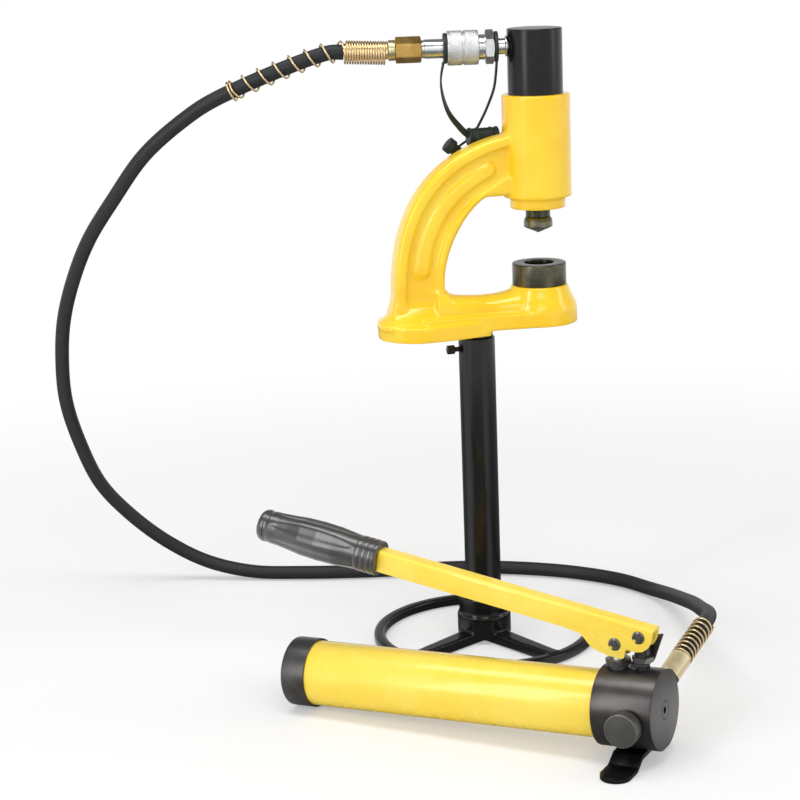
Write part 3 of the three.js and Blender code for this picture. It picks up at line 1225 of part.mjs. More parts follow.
const leverFrame = new THREE.Group();
leverFrame.position.set(fulcrumX, 0, fulcrumZ);
leverFrame.rotation.y = LEVER_SLOPE;
pump.add(leverFrame);
leverFrame.updateMatrix();
const toLever = new THREE.Matrix4().copy(leverFrame.matrix).invert();
const pinPlace = new THREE.Vector3(pinX, 0, pinZ).applyMatrix4(toLever);
const cheekInside = LEVER_WIDTH / 2 - LEVER_SHEET;

function lever() {
  const shape = new THREE.Shape();
  const [front, bottom] = [-LEVER_LENGTH, LEVER_TOP - LEVER_DEPTH];
  shape.moveTo(front, bottom);
  shape.lineTo(front, LEVER_TOP);
  shape.lineTo(LEVER_HEEL - EDGE, LEVER_TOP);
  for (const [across, down] of EAR_shares) shape.lineTo(across * LEVER_HEEL, down * LEVER_DEPTH);
  const outer = solid(upright(shape, LEVER_WIDTH, EDGE, 1));
  const roof = LEVER_TOP - LEVER_SHEET;
  const inside = at((LEVER_HEEL - LEVER_LENGTH) / 2 + LEVER_SHEET, 0, roof - 2 * LEVER_DEPTH,
    new THREE.BoxGeometry(LEVER_LENGTH + LEVER_HEEL, 2 * cheekInside, 4 * LEVER_DEPTH));
  const tongueMiddle = front - (TONGUE_LENGTH - LEVER_SHEET) / 2;
  const tongue = at(tongueMiddle, 0, LEVER_TOP - LEVER_DEPTH / 2,
    new THREE.BoxGeometry(TONGUE_LENGTH + LEVER_SHEET, TONGUE_SIZE, TONGUE_SIZE));
  const hole = (x, z) => solid(at(x, 0, z, alongY(rod(PIN_RADIUS + GAP, -LEVER_WIDTH, LEVER_WIDTH, COARSE))));
  return cut(joined(cut(outer, solid(inside)), solid(tongue)), hole(0, 0), hole(pinPlace.x, pinPlace.z));
}

function grip() {
  const outline = GRIP_shares.map(([along, across]) => [across * GRIP_RADIUS, along * GRIP_LENGTH]);
  const blind = GRIP_LENGTH - TONGUE_LENGTH - EDGE;
  const profile = [[0, 0], ...outline, [GRIP_BORE, GRIP_LENGTH], [GRIP_BORE, blind], [0, blind]];
  const body = alongX(turned(profile, MEDIUM));
  return solid(at(-LEVER_LENGTH - GAP - GRIP_LENGTH, 0, LEVER_TOP - LEVER_DEPTH / 2, body));
}

// A pin with its round head behind the far cheek and a spring clip in front of the near one
function leverPin(x, z) {
  const face = LEVER_WIDTH / 2 + GAP;
  const tip = -face - CLIP_THICKNESS - EDGE;
  return solid(at(x, 0, z, alongY(turned([[0, tip], [PIN_RADIUS, tip], [PIN_RADIUS, face], [PIN_HEAD, face],
    [PIN_HEAD, face + PIN_HEAD_THICKNESS - EDGE], [PIN_HEAD - EDGE, face + PIN_HEAD_THICKNESS],
    [0, face + PIN_HEAD_THICKNESS]], COARSE))));
}

// The clip is open at its lower side
function pinClip(x, z) {
  const from = -LEVER_WIDTH / 2 - GAP;
  const disc = alongY(ring(PIN_RADIUS + GAP, CLIP_RADIUS, from - CLIP_THICKNESS, from, MEDIUM));
  const slot = at(0, from, -CLIP_RADIUS,
    new THREE.BoxGeometry(PIN_RADIUS, 4 * CLIP_THICKNESS, 2 * CLIP_RADIUS));
  return movedSolid(cut(solid(disc), solid(slot)), x, 0, z);
}

piece(leverFrame, 'handle_lever', lever(), PALE_YELLOW);
piece(leverFrame, 'handle_grip', grip(), GRIP);
piece(leverFrame, 'fulcrum_pin', leverPin(0, 0), TOOL_STEEL);
piece(leverFrame, 'plunger_pin', leverPin(pinPlace.x, pinPlace.z), TOOL_STEEL);
piece(leverFrame, 'fulcrum_clip', pinClip(0, 0), TOOL_STEEL);
piece(leverFrame, 'plunger_clip', pinClip(pinPlace.x, pinPlace.z), TOOL_STEEL);

// Pump outlet: adapter and brass ferrule

const outletNutEnd = OUTLET_STANDOFF + OUTLET_HEX_LENGTH;
const outletFerruleStart = outletNutEnd + GAP;
const outletFerruleEnd = outletFerruleStart + OUTLET_FERRULE;

function outletAdapter() {
  const thread = PORT_RADIUS - GAP;
  const tailEnd = outletFerruleEnd - OUTLET_HEX_LENGTH;
  const stub = rod(thread, GAP - OUTLET_DEPTH, outletNutEnd - EDGE, MEDIUM);
  const hex = rod(OUTLET_HEX, OUTLET_STANDOFF, outletNutEnd, HEX, EDGE);
  const tail = rod(TAIL_RADIUS, outletNutEnd - EDGE, tailEnd, COARSE);
  return joined(solid(stub), solid(hex), solid(tail));
}

piece(outlet, 'outlet_adapter', outletAdapter(), GUNMETAL);
piece(outlet, 'ferrule_pump_end', ferrule(OUTLET_FERRULE_RADIUS, outletFerruleStart, outletFerruleEnd,
  outletFerruleEnd - OUTLET_HEX_LENGTH), BRASS);

// Hose: straight out of each ferrule, down to the floor behind the stand and round to the pump
machine.updateMatrixWorld(true);
const along = (group, distance) => new THREE.Vector3(0, 0, distance).applyMatrix4(group.matrixWorld);
const HOSE_ROUTE = [
  [-248, 84, 584], [-280, 99, 563], [-319, 123, 527], [-351, 151, 479], [-377, 177, 434], [-394, 202, 388],
  [-405, 226, 340], [-408, 250, 290], [-405, 272, 239], [-392, 291, 187], [-369, 307, 129],
  [-335, 315, 85], [-294, 314, 48], [-250, 305, 22], [-201, 287, 9.5], [-143, 265, 8], [-81, 246, 8],
  [-13, 230, 8], [55, 212, 8], [109, 186, 8], [155, 153, 8], [194, 110, 8], [215, 63, 9], [219, 15, 17],
  [212, -40, 30], [199, -105, 47], [184, -165, 62], [171, -215, 74],
];
const hosePoints = [
  along(port, ferruleEnd + GAP),
  along(port, ferruleEnd + GAP + 2 * HOSE_RADIUS),
  ...HOSE_ROUTE.map((point) => new THREE.Vector3(...point).add(stand.position)),
  along(outlet, outletFerruleEnd + GAP + PUMP_GUARD_LENGTH),
  along(outlet, outletFerruleEnd + GAP + PUMP_GUARD_LENGTH / 2),
  along(outlet, outletFerruleEnd + GAP),
];
const hoseCurve = new THREE.CatmullRomCurve3(hosePoints, false, 'centripetal');
hoseCurve.arcLengthDivisions = 2000;
const hoseLength = hoseCurve.getLength();
const hoseSection = new THREE.Shape(Array.from({ length: HOSE_SIDES }, (_, k) => {
  const angle = 2 * Math.PI * k / HOSE_SIDES;
  return new THREE.Vector2(HOSE_RADIUS * Math.cos(angle), HOSE_RADIUS * Math.sin(angle));
}));
const hose = new THREE.ExtrudeGeometry(hoseSection, {
  steps: HOSE_STEPS,
  bevelEnabled: false,
  extrudePath: hoseCurve,
});
piece(machine, 'hose', solid(hose), RUBBER);

// Wire guards: close turns over the ferrule at the punch end, then open turns along the hose

const hoseFrame = framed(hoseCurve, hoseLength);

// They draw in onto the hose within a turn, and the last of them lie close again
function punchGuard() {
  const tightPitch = (FERRULE_LENGTH - 2 * GUARD_WIRE) / TIGHT_TURNS;
  const start = -FERRULE_LENGTH + GUARD_WIRE;
  return coil(hoseFrame, TIGHT_TURNS + OPEN_TURNS + END_TURNS, (turn) => {
    const tight = Math.min(turn, TIGHT_TURNS);
    const open = Math.min(turn - tight, OPEN_TURNS);
    const close = turn - tight - open;
    const place = start + tight * tightPitch + open * OPEN_PITCH + close * END_PITCH;
    return { along: place, radius: THREE.MathUtils.lerp(tightRadius, openRadius, Math.min(open, 1)) };
  });
}

// Its first turn is drawn in onto the end of the ferrule
function pumpGuard() {
  return coil(hoseFrame, PUMP_GUARD_TURNS, (turn) => ({
    along: hoseLength - GUARD_WIRE - turn / PUMP_GUARD_TURNS * PUMP_GUARD_LENGTH,
    radius: PUMP_GUARD_RADIUS - Math.max(0, 1 - turn) * GUARD_WIRE,
  }));
}

const guards = { spring_guard_punch_end: punchGuard(), spring_guard_pump_end: pumpGuard() };
for (const [name, points] of Object.entries(guards)) {
  const least = leastGap(points, GUARD_WIRE, CURL_STEPS);
  console.log(name, 'least gap to itself', least.toFixed(2), 'mm');
  piece(machine, name, solid(wire(points, GUARD_WIRE, CURL_SIDES)), BRASS);
}
console.log('hose length', hoseLength.toFixed(0), 'mm');

export default machine;
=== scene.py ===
# A bench hole punch on a ring-foot stand, with its hose, wire guards and lever pump.
# Metres, +Z up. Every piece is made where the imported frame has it.
import math

import bmesh
import bpy
from mathutils import Matrix, Vector


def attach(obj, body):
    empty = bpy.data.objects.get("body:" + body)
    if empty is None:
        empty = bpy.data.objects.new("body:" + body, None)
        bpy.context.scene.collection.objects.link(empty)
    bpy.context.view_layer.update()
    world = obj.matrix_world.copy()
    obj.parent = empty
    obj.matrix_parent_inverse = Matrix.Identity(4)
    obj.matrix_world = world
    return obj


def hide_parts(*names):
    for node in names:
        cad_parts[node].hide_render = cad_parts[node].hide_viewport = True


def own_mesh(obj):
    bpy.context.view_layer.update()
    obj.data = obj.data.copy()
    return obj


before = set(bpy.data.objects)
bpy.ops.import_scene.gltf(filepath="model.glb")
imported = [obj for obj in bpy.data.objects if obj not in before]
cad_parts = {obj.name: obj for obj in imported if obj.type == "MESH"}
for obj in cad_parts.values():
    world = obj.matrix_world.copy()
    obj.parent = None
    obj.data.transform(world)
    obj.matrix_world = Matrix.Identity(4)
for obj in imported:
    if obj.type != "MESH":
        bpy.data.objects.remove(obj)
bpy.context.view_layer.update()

# Camera
# It stands 2.2 m in front of the post and 0.8 m up, with a long lens. It looks down at the bench a little
# and leans a touch to one side.
CAMERA_PLACE = Vector((-0.5461, -2.0055, 0.7977))
CAMERA_HEADING = math.radians(13.9)
CAMERA_PITCH = math.radians(13.37)
CAMERA_LEAN = math.radians(2.07)
CAMERA_LENS = 98.64
CAMERA_SENSOR = 36
QUARTER = math.pi / 2


def turn(angle, axis):
    return Matrix.Rotation(angle, 4, axis)


def shift(x=0, y=0, z=0):
    return Matrix.Translation((x, y, z))


scene = bpy.context.scene
camera = bpy.data.objects.new("camera", bpy.data.cameras.new("camera"))
scene.collection.objects.link(camera)
camera.data.lens = CAMERA_LENS
camera.data.sensor_width = CAMERA_SENSOR
camera.data.clip_end = 200
camera.matrix_world = (
    shift(*CAMERA_PLACE)
    @ turn(-CAMERA_HEADING, "Z")
    @ turn(QUARTER - CAMERA_PITCH, "X")
    @ turn(-CAMERA_LEAN, "Z")
)
scene.camera = camera
scene.view_settings.view_transform = "Standard"


# Finishes
# A finish is a node material. Numbers that change over a surface are written as sums on sockets, and every
# node comes from one method.
class Number:
    """A shader socket that holds a number and takes part in plain arithmetic."""

    def __init__(self, finish, socket):
        self.finish = finish
        self.socket = socket

    def maths(self, operation, *terms):
        return self.finish.node("Math", {"operation": operation}, dict(enumerate(terms)))

    def __add__(self, other):
        return self.maths("ADD", self, other)

    def __radd__(self, other):
        return self.maths("ADD", other, self)

    def __sub__(self, other):
        return self.maths("SUBTRACT", self, other)

    def __rsub__(self, other):
        return self.maths("SUBTRACT", other, self)

    def __mul__(self, other):
        return self.maths("MULTIPLY", self, other)

    def __rmul__(self, other):
        return self.maths("MULTIPLY", other, self)

    def rise(self, low, high):
        """0 below low and 1 above high, with a soft step between."""
        settings = {"interpolation_type": "SMOOTHSTEP"}
        return self.finish.node("MapRange", settings, {0: self, 1: low, 2: high, 3: 0.0, 4: 1.0})


class Graph:
    """A tree of shader nodes, with one way to add to it."""

    def __init__(self, owner):
        owner.use_nodes = True
        self.tree = owner.node_tree
        self.tree.nodes.clear()

    def node(self, kind, settings=None, sockets=None, output=0):
        made = self.tree.nodes.new("ShaderNode" + kind)
        for key, value in (settings or {}).items():
            if key == "stops":
                self.ramp(made.color_ramp, value)
            else:
                setattr(made, key, value)
        for key, value in (sockets or {}).items():
            self.feed(made.inputs[key], value)
        return Number(self, made.outputs[output])

    def ramp(self, ramp, stops):
        while len(ramp.elements) < len(stops):
            ramp.elements.new(1)
        for element, (place, colour) in zip(ramp.elements, stops):
            element.position = place
            element.color = colour

    def feed(self, socket, value):
        if isinstance(value, Number):
            self.tree.links.new(value.socket, socket)
        else:
            socket.default_value = value

    def seen(self):
        """1 for what is looked at, also in a reflection or through glass, and 0 for what only gives light."""
        kinds = ("Camera", "Glossy", "Transmission")
        looked, mirrored, through = (self.node("LightPath", output=f"Is {kind} Ray") for kind in kinds)
        return looked + mirrored + through

    def mix(self, share, first, second):
        return self.node("Mix", {"data_type": "RGBA"}, {0: share, 6: first, 7: second}, output=2)


class Finish(Graph):
    """A material of shader nodes round one Principled shader."""

    def __init__(self, name, **constants):
        self.material = bpy.data.materials.new(name)
        super().__init__(self.material)
        self.shader = self.tree.nodes.new("ShaderNodeBsdfPrincipled")
        self.output = self.tree.nodes.new("ShaderNodeOutputMaterial")
        self.tree.links.new(self.shader.outputs[0], self.output.inputs[0])
        for socket, value in constants.items():
            self.set(socket.replace("_", " ").title().replace("Ior", "IOR"), value)

    def set(self, name, value):
        self.feed(self.shader.inputs[name], value)

    def place(self, kind="Object", scale=(1, 1, 1)):
        """Where on the piece a point is: in metres, or along a turned piece's own lines."""
        spot = self.node("TexCoord", output={"Object": 3, "UV": 2}[kind])
        return self.node("Mapping", {}, {"Vector": spot, "Scale": scale})

    def noise(self, where, size, detail=2.0, roughness=0.5):
        """Soft blotches of about that size in metres, from 0 to 1."""
        sockets = {"Vector": where, "Scale": 1 / size, "Detail": detail, "Roughness": roughness}
        return self.node("TexNoise", {}, sockets)

    def bump(self, height, distance, strength=1.0):
        sockets = {"Strength": strength, "Distance": distance, "Height": height}
        self.set("Normal", self.node("Bump", {}, sockets))


def paint(red, green, blue):
    """A colour from its 0 to 255 screen values."""
    shares = (value / 255 for value in (red, green, blue))
    return (*(s / 12.92 if s <= 0.04045 else ((s + 0.055) / 1.055) ** 2.4 for s in shares), 1)


# Frames
# The stand and the pump each have their own axes, and the coupler line, the pump's outlet and the lever are
# set in them, so a piece is made about its own axis and then put in place.
POST_PLACE = (0.072, 0.15)
PUNCH_REACH = 0.07
PORT_HEIGHT = 0.628
PORT_TURN = math.radians(168)
STAND = shift(*POST_PLACE)
PUNCH = STAND @ shift(PUNCH_REACH)
PORT = PUNCH @ shift(z=PORT_HEIGHT) @ turn(PORT_TURN, "Z") @ turn(QUARTER, "Y")

PUMP_FROM_POST = (-0.231, -0.1236)
PUMP_TURN = math.radians(-41.5)
PUMP_LENGTH = 0.389
HEAD_RADIUS = 0.038
HEAD_LIFT = 0.011
END_CAP_RADIUS = 0.034
PUMP_TILT = math.asin((HEAD_RADIUS + HEAD_LIFT - END_CAP_RADIUS) / PUMP_LENGTH)
LEVEL = STAND @ shift(*PUMP_FROM_POST) @ turn(PUMP_TURN, "Z")
PUMP = LEVEL @ shift(z=END_CAP_RADIUS * math.cos(PUMP_TILT)) @ turn(-PUMP_TILT, "Y")
OUTLET_X = 0.375
OUTLET_Z = 0.012
OUTLET_TILT = math.radians(10)
outlet_y = math.sqrt(HEAD_RADIUS**2 - OUTLET_Z**2)
OUTLET = PUMP @ shift(OUTLET_X, outlet_y, OUTLET_Z) @ turn(OUTLET_TILT - QUARTER, "X")
FULCRUM_X = 0.37
FULCRUM_Z = 0.0706
LEVER_SLOPE = math.radians(11.3)
LEVER = PUMP @ shift(FULCRUM_X, 0, FULCRUM_Z) @ turn(LEVER_SLOPE, "Y")
ALONG_X = turn(QUARTER, "Y")
ALONG_Y = turn(-QUARTER, "X")

# Hose
# A smooth-covered hydraulic hose, 15.4 mm thick and 1.83 m long. It leaves the coupler line level, falls
# behind the stand in its own bend and lies on the bench round to the pump's outlet.
HOSE_RADIUS = 0.0077
HOSE_STEP = 0.004
HOSE_SIDES = 32
CURVE_STEPS = 16
SHARP = math.radians(38)
GAP = 0.0003
FERRULE_END = 0.1948
OUTLET_FERRULE_END = 0.0453
PUMP_GUARD_LENGTH = 0.068
HOSE_ROUTE = [
    (-0.248, 0.084, 0.584), (-0.280, 0.099, 0.563), (-0.319, 0.123, 0.527), (-0.351, 0.151, 0.479),
    (-0.377, 0.177, 0.434), (-0.394, 0.202, 0.388), (-0.405, 0.226, 0.340), (-0.408, 0.250, 0.290),
    (-0.405, 0.272, 0.239), (-0.392, 0.291, 0.187), (-0.369, 0.307, 0.129), (-0.335, 0.315, 0.085),
    (-0.294, 0.314, 0.048), (-0.250, 0.305, 0.022), (-0.201, 0.287, 0.0095), (-0.143, 0.265, 0.008),
    (-0.081, 0.246, 0.008), (-0.013, 0.230, 0.008), (0.055, 0.212, 0.008), (0.109, 0.186, 0.008),
    (0.155, 0.153, 0.008), (0.194, 0.110, 0.008), (0.215, 0.063, 0.009), (0.219, 0.015, 0.017),
    (0.212, -0.040, 0.030), (0.199, -0.105, 0.047), (0.184, -0.165, 0.062), (0.171, -0.215, 0.074),
]


def along(axes, distance):
    """The point at that distance out along an axis frame's Z."""
    return axes @ Vector((0, 0, distance))


def smooth_line(points, step):
    """Evenly spaced points on a smooth line through the given ones."""
    ends = [2 * points[0] - points[1], *points, 2 * points[-1] - points[-2]]
    dense = []
    for before, a, b, after in zip(ends, ends[1:], ends[2:], ends[3:]):
        d0, d1, d2 = ((q - p).length ** 0.5 for p, q in ((before, a), (a, b), (b, after)))
        leave = ((a - before) / d0 - (b - before) / (d0 + d1) + (b - a) / d1) * d1
        arrive = ((b - a) / d1 - (after - a) / (d1 + d2) + (after - b) / d2) * d1
        bend = -3 * a + 3 * b - 2 * leave - arrive
        close = 2 * a - 2 * b + leave + arrive
        steps = [k / CURVE_STEPS for k in range(CURVE_STEPS)]
        dense += [a + leave * t + bend * t**2 + close * t**3 for t in steps]
    dense.append(points[-1])
    return evenly(dense, step)


def length_of(line):
    return sum((b - a).length for a, b in zip(line, line[1:]))


def evenly(line, step):
    """The same line in equal steps of about that length."""
    travelled = [0]
    for a, b in zip(line, line[1:]):
        travelled.append(travelled[-1] + (b - a).length)
    count = max(2, round(travelled[-1] / step))
    even, at = [], 0
    for k in range(count + 1):
        goal = travelled[-1] * k / count
        while at < len(line) - 2 and travelled[at + 1] < goal:
            at += 1
        share = (goal - travelled[at]) / max(travelled[at + 1] - travelled[at], 1e-9)
        even.append(line[at].lerp(line[at + 1], share))
    return even


def swept(line, section, side=Vector((0, 0, 1))):
    """A mesh with a section carried along a line. section(distance) lists its points as (side, up)."""
    loops, places = [], []
    travelled = 0
    for i, point in enumerate(line):
        before, after = line[max(i - 1, 0)], line[min(i + 1, len(line) - 1)]
        ahead = (after - before).normalized()
        side = (side - ahead * side.dot(ahead)).normalized()
        up = ahead.cross(side)
        travelled += (point - before).length
        loops.append([point + side * a + up * b for a, b in section(travelled)])
        places.append(travelled)
    return loft(loops, places)


def loft(loops, places=None):
    """A closed body through loops of points. places gives its UV map each loop's distance along it."""
    count = len(loops[0])
    faces, marks = [], []
    for i in range(len(loops) - 1):
        for k in range(count):
            a, b = i * count + k, i * count + (k + 1) % count
            faces.append((a, b, b + count, a + count))
            if places:
                left, right, near, far = k / count, (k + 1) / count, places[i], places[i + 1]
                marks += [(left, near), (right, near), (right, far), (left, far)]
    last = (len(loops) - 1) * count
    faces += [tuple(range(count - 1, -1, -1)), tuple(range(last, last + count))]
    if places:
        marks += [(0, 0)] * (2 * count)
    return meshed([point for loop in loops for point in loop], faces, marks)


def meshed(vertices, faces, marks=None):
    """A closed mesh with its faces pointing out, and its own lines as a UV map if marks are given."""
    mesh = bpy.data.meshes.new("mesh")
    mesh.from_pydata([tuple(v) for v in vertices], [], faces)
    if marks:
        layer = mesh.uv_layers.new(name="lines")
        for spot, mark in zip(layer.data, marks):
            spot.uv = mark
    work = bmesh.new()
    work.from_mesh(mesh)
    if work.calc_volume(signed=True) < 0:
        bmesh.ops.reverse_faces(work, faces=work.faces)
    work.to_mesh(mesh)
    work.free()
    return mesh


def polar(radius, angle):
    return radius * math.cos(angle), radius * math.sin(angle)


def disc(radius, sides):
    """Points of a round section."""
    return [polar(radius, math.tau * k / sides) for k in range(sides)]


def piece(name, mesh, axes, slot, finish, body="base", *nodes):
    """A finished piece in place. It stands for its nodes of the frame, or else for the node that its own name
    gives without the last word."""
    nodes = nodes or [name.rpartition("_")[0]]
    mesh.transform(axes)
    mesh.name = name
    mesh.materials.clear()
    mesh.materials.append(finish.material)
    for polygon in mesh.polygons:
        polygon.use_smooth = True
    mesh.set_sharp_from_angle(angle=SHARP)
    made = bpy.data.objects.new(name, mesh)
    scene.collection.objects.link(made)
    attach(made, body)
    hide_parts(*nodes)
    return made


def mottled(name, dark, bright, blotch, shine, grain, **constants):
    """Soft blotches of two shades. shine is a roughness and a noise's share in it, with that noise's size and
    detail, and grain a relief's depth and strength, with its noise."""
    finish = Finish(name, **constants)
    where = finish.place()
    finish.set("Base Color", finish.mix(finish.noise(where, *blotch), dark, bright))
    roughness, share, *noise = shine
    finish.set("Roughness", roughness + finish.noise(where, *noise) * share)
    depth, strength, *noise = grain
    finish.bump(finish.noise(where, *noise), depth, strength)
    return finish


hose_points = [
    along(PORT, FERRULE_END + GAP),
    along(PORT, FERRULE_END + GAP + 2 * HOSE_RADIUS),
    *(STAND @ Vector(point) for point in HOSE_ROUTE),
    along(OUTLET, OUTLET_FERRULE_END + GAP + PUMP_GUARD_LENGTH),
    along(OUTLET, OUTLET_FERRULE_END + GAP + PUMP_GUARD_LENGTH / 2),
    along(OUTLET, OUTLET_FERRULE_END + GAP),
]
hose_line = smooth_line(hose_points, HOSE_STEP)
hose_mesh = swept(hose_line, lambda distance: disc(HOSE_RADIUS, HOSE_SIDES))
rubber = mottled(
    "hose_rubber", paint(33, 34, 37), paint(43, 44, 47),
    (0.06,), (0.46, 0.08, 0.0006, 3), (0.00005, 0.4, 0.0006, 3), specular_ior_level=0.35
)
hose = piece("hose_tube", hose_mesh, Matrix(), "rubber", rubber)

# Wire guards
# Brass wire wound over each end of the hose. At the punch end it grips the ferrule in close turns and then
# opens along the hose, and at the pump it runs in open turns from the ferrule to the bend.
GUARD_WIRE = 0.0011
TIGHT_RADIUS = 0.01115
TIGHT_TURNS = 16
OPEN_RADIUS = 0.0102
OPEN_TURNS = 7
OPEN_PITCH = 0.0173
END_TURNS = 1.5
END_PITCH = 0.0032
FERRULE_LENGTH = 0.045
PUMP_GUARD_RADIUS = 0.0097
PUMP_GUARD_TURNS = 9
CURL_STEPS = 28
WIRE_SIDES = 10


def hose_spot(distance):
    """A point of the hose's middle line with its side and up, also a little past its ends."""
    share = distance / (hose_length / (len(hose_line) - 1))
    at = min(max(int(share), 0), len(hose_line) - 2)
    ahead = (hose_line[at + 1] - hose_line[at]).normalized()
    if 0 < at < len(hose_line) - 2:
        later = (hose_line[at + 2] - hose_line[at + 1]).normalized()
        ahead = ahead.lerp(later, share - at).normalized()
    centre = hose_line[at].lerp(hose_line[at + 1], share - at)
    side = Vector((-ahead.y, ahead.x, 0)).normalized()
    return centre, side, ahead.cross(side)


def wound(turns, where):
    """The line of a wire wound about the hose. where(turn) gives its place along it and its radius."""
    line = []
    for k in range(int(turns * CURL_STEPS) + 1):
        distance, radius = where(k / CURL_STEPS)
        centre, side, up = hose_spot(distance)
        across, over = polar(radius, math.tau * k / CURL_STEPS)
        line.append(centre + side * across + up * over)
    return line


def punch_guard(turn_number):
    pitch = (FERRULE_LENGTH - 2 * GUARD_WIRE) / TIGHT_TURNS
    tight = min(turn_number, TIGHT_TURNS)
    opened = min(turn_number - tight, OPEN_TURNS)
    closing = turn_number - tight - opened
    distance = GUARD_WIRE - FERRULE_LENGTH + tight * pitch + opened * OPEN_PITCH + closing * END_PITCH
    return distance, TIGHT_RADIUS + (OPEN_RADIUS - TIGHT_RADIUS) * min(opened, 1)


def pump_guard(turn_number):
    return hose_length - GUARD_WIRE - turn_number / PUMP_GUARD_TURNS * PUMP_GUARD_LENGTH, PUMP_GUARD_RADIUS


hose_length = length_of(hose_line)
wire_finish = mottled(
    "brass_wire", paint(226, 196, 142), paint(246, 226, 184),
    (0.015,), (0.24, 0.1, 0.015), (0.00003, 1.0, 0.0003), metallic=1.0
)
wire_section = disc(GUARD_WIRE, WIRE_SIDES)
for name, turns, where, node in (
    ("close_wound_guard", TIGHT_TURNS + OPEN_TURNS + END_TURNS, punch_guard, "spring_guard_punch_end"),
    ("open_wound_guard", PUMP_GUARD_TURNS, pump_guard, "spring_guard_pump_end"),
):
    wire = swept(wound(turns, where), lambda distance: wire_section)
    piece(name, wire, Matrix(), "brass", wire_finish, "base", node)

# Ring foot
# An iron casting in one piece: a flat-bottomed ring, three spokes that narrow outwards, and the hub that
# the post stands in. It is finished in thick black enamel.
RING_RADIUS = 0.119
RING_BAR = 0.012
RING_HEIGHT = 0.011
RING_EDGE = 0.0032
SPOKE_TURNS = (-66, -148, 73)
SPOKE_WIDTH = 0.013
SPOKE_ROOT = 0.022
SPOKE_HEIGHT = 0.012
HUB_RADIUS = 0.0285
HUB_COLLAR = 0.0265
HUB_LIFT = 0.0054
HUB_LEDGE = 0.0285
HUB_TOP = 0.0496
HUB_FLOOR = 0.004
POST_RADIUS = 0.019
RING_GRAIN = 0.0011
RING_SOFTNESS = 10
FINE_SIDES = 160
ROUND_SIDES = 128
PLAIN_SIDES = 96
HOLE_SIDES = 64
PIN_SIDES = 48
SCREW_SIDES = 32


def rounded(corners, radius, steps=4, closed=False):
    """An outline with its corners drawn as short arcs. A third number sets a corner's own radius."""
    line = []
    count = len(corners)
    for k, (x, y, *own) in enumerate(corners):
        here = Vector((x, y))
        size = own[0] if own else radius
        if size == 0 or (not closed and k in (0, count - 1)):
            line.append((x, y))
            continue
        before = Vector(corners[k - 1][:2]) - here
        after = Vector(corners[(k + 1) % count][:2]) - here
        half = max(before.angle(after), 0.01) / 2
        reach = min(size / math.tan(half), before.length * 0.48, after.length * 0.48)
        start, stop = here + before.normalized() * reach, here + after.normalized() * reach
        for i in range(steps + 1):
            t = i / steps
            point = start * (1 - t) ** 2 + here * (2 * t * (1 - t)) + stop * t**2
            line.append((point.x, point.y))
    return line


def lathe(profile, sides=PLAIN_SIDES, relief=None):
    """A mesh turned about Z from an outline of (radius, height), closed on the axis or on itself."""
    vertices, faces, marks, rows = [], [], [], []
    travelled = 0
    for k, (radius, height) in enumerate(profile):
        travelled += math.dist(profile[max(k - 1, 0)], (radius, height))
        if radius < 1e-7:
            rows.append(([len(vertices)] * sides, travelled))
            vertices.append((0, 0, height))
            continue
        rows.append((list(range(len(vertices), len(vertices) + sides)), travelled))
        for i in range(sides):
            angle = math.tau * i / sides
            out = radius + (relief(angle, height, radius) if relief else 0)
            vertices.append((*polar(out, angle), height))
    if profile[0][0] >= 1e-7:
        rows.append((rows[0][0], travelled + math.dist(profile[-1], profile[0])))
    for (low, start), (high, stop) in zip(rows, rows[1:]):
        for i in range(sides):
            after = (i + 1) % sides
            loop = {low[i]: (i, start), low[after]: (i + 1, start)}
            loop.update({high[after]: (i + 1, stop), high[i]: (i, stop)})
            if len(loop) > 2:
                faces.append(tuple(loop))
                marks += [(around / sides, out) for around, out in loop.values()]
    return meshed(vertices, faces, marks)


def stepped(inner, low, *steps):
    """A turned outline that starts at radius inner. Each step is a radius and the height that it runs to."""
    outline = [(inner, low)]
    for radius, high in steps:
        outline += [(radius, low), (radius, high)]
        low = high
    return [*outline, (inner, low)]


def turned(edge, inner, low, *steps, sides=PLAIN_SIDES):
    """A stepped piece with broken edges, solid or with a bore of radius inner."""
    return lathe(rounded(stepped(inner, low, *steps), edge, closed=inner > 0), sides)


def hole(radius, low, high, sides=HOLE_SIDES):
    """A round tool to cut a hole with, or a plain round bar."""
    return lathe(stepped(0, low, (radius, high)), sides)


def prism(outline, low, high):
    """An outline given thickness between two heights."""
    return loft([[(x, y, z) for x, y in outline] for z in (low, high)])


def placed(mesh, axes):
    mesh.transform(axes)
    return mesh


def worked(mesh, *steps):
    """The mesh after a row of modifiers, each a kind and its settings."""
    body = bpy.data.objects.new("work", mesh)
    scene.collection.objects.link(body)
    for kind, settings in steps:
        modifier = body.modifiers.new(kind, kind)
        for key, value in settings.items():
            setattr(modifier, key, value)
    graph = bpy.context.evaluated_depsgraph_get()
    result = bpy.data.meshes.new_from_object(body.evaluated_get(graph))
    bpy.data.objects.remove(body)
    return result


def combined(operation, mesh, *others):
    """Solids joined or cut: operation is UNION, DIFFERENCE or INTERSECT."""
    tools = [bpy.data.objects.new("tool", other) for other in others]
    for tool in tools:
        scene.collection.objects.link(tool)
        settings = {"operation": operation, "object": tool, "solver": "MANIFOLD"}
        mesh = worked(mesh, ("BOOLEAN", settings))
    for tool in tools:
        bpy.data.objects.remove(tool)
    return mesh


def together(*solids):
    """Solids as one mesh."""
    whole = bmesh.new()
    for solid in solids:
        whole.from_mesh(solid)
    mesh = bpy.data.meshes.new("whole")
    whole.to_mesh(mesh)
    whole.free()
    return mesh


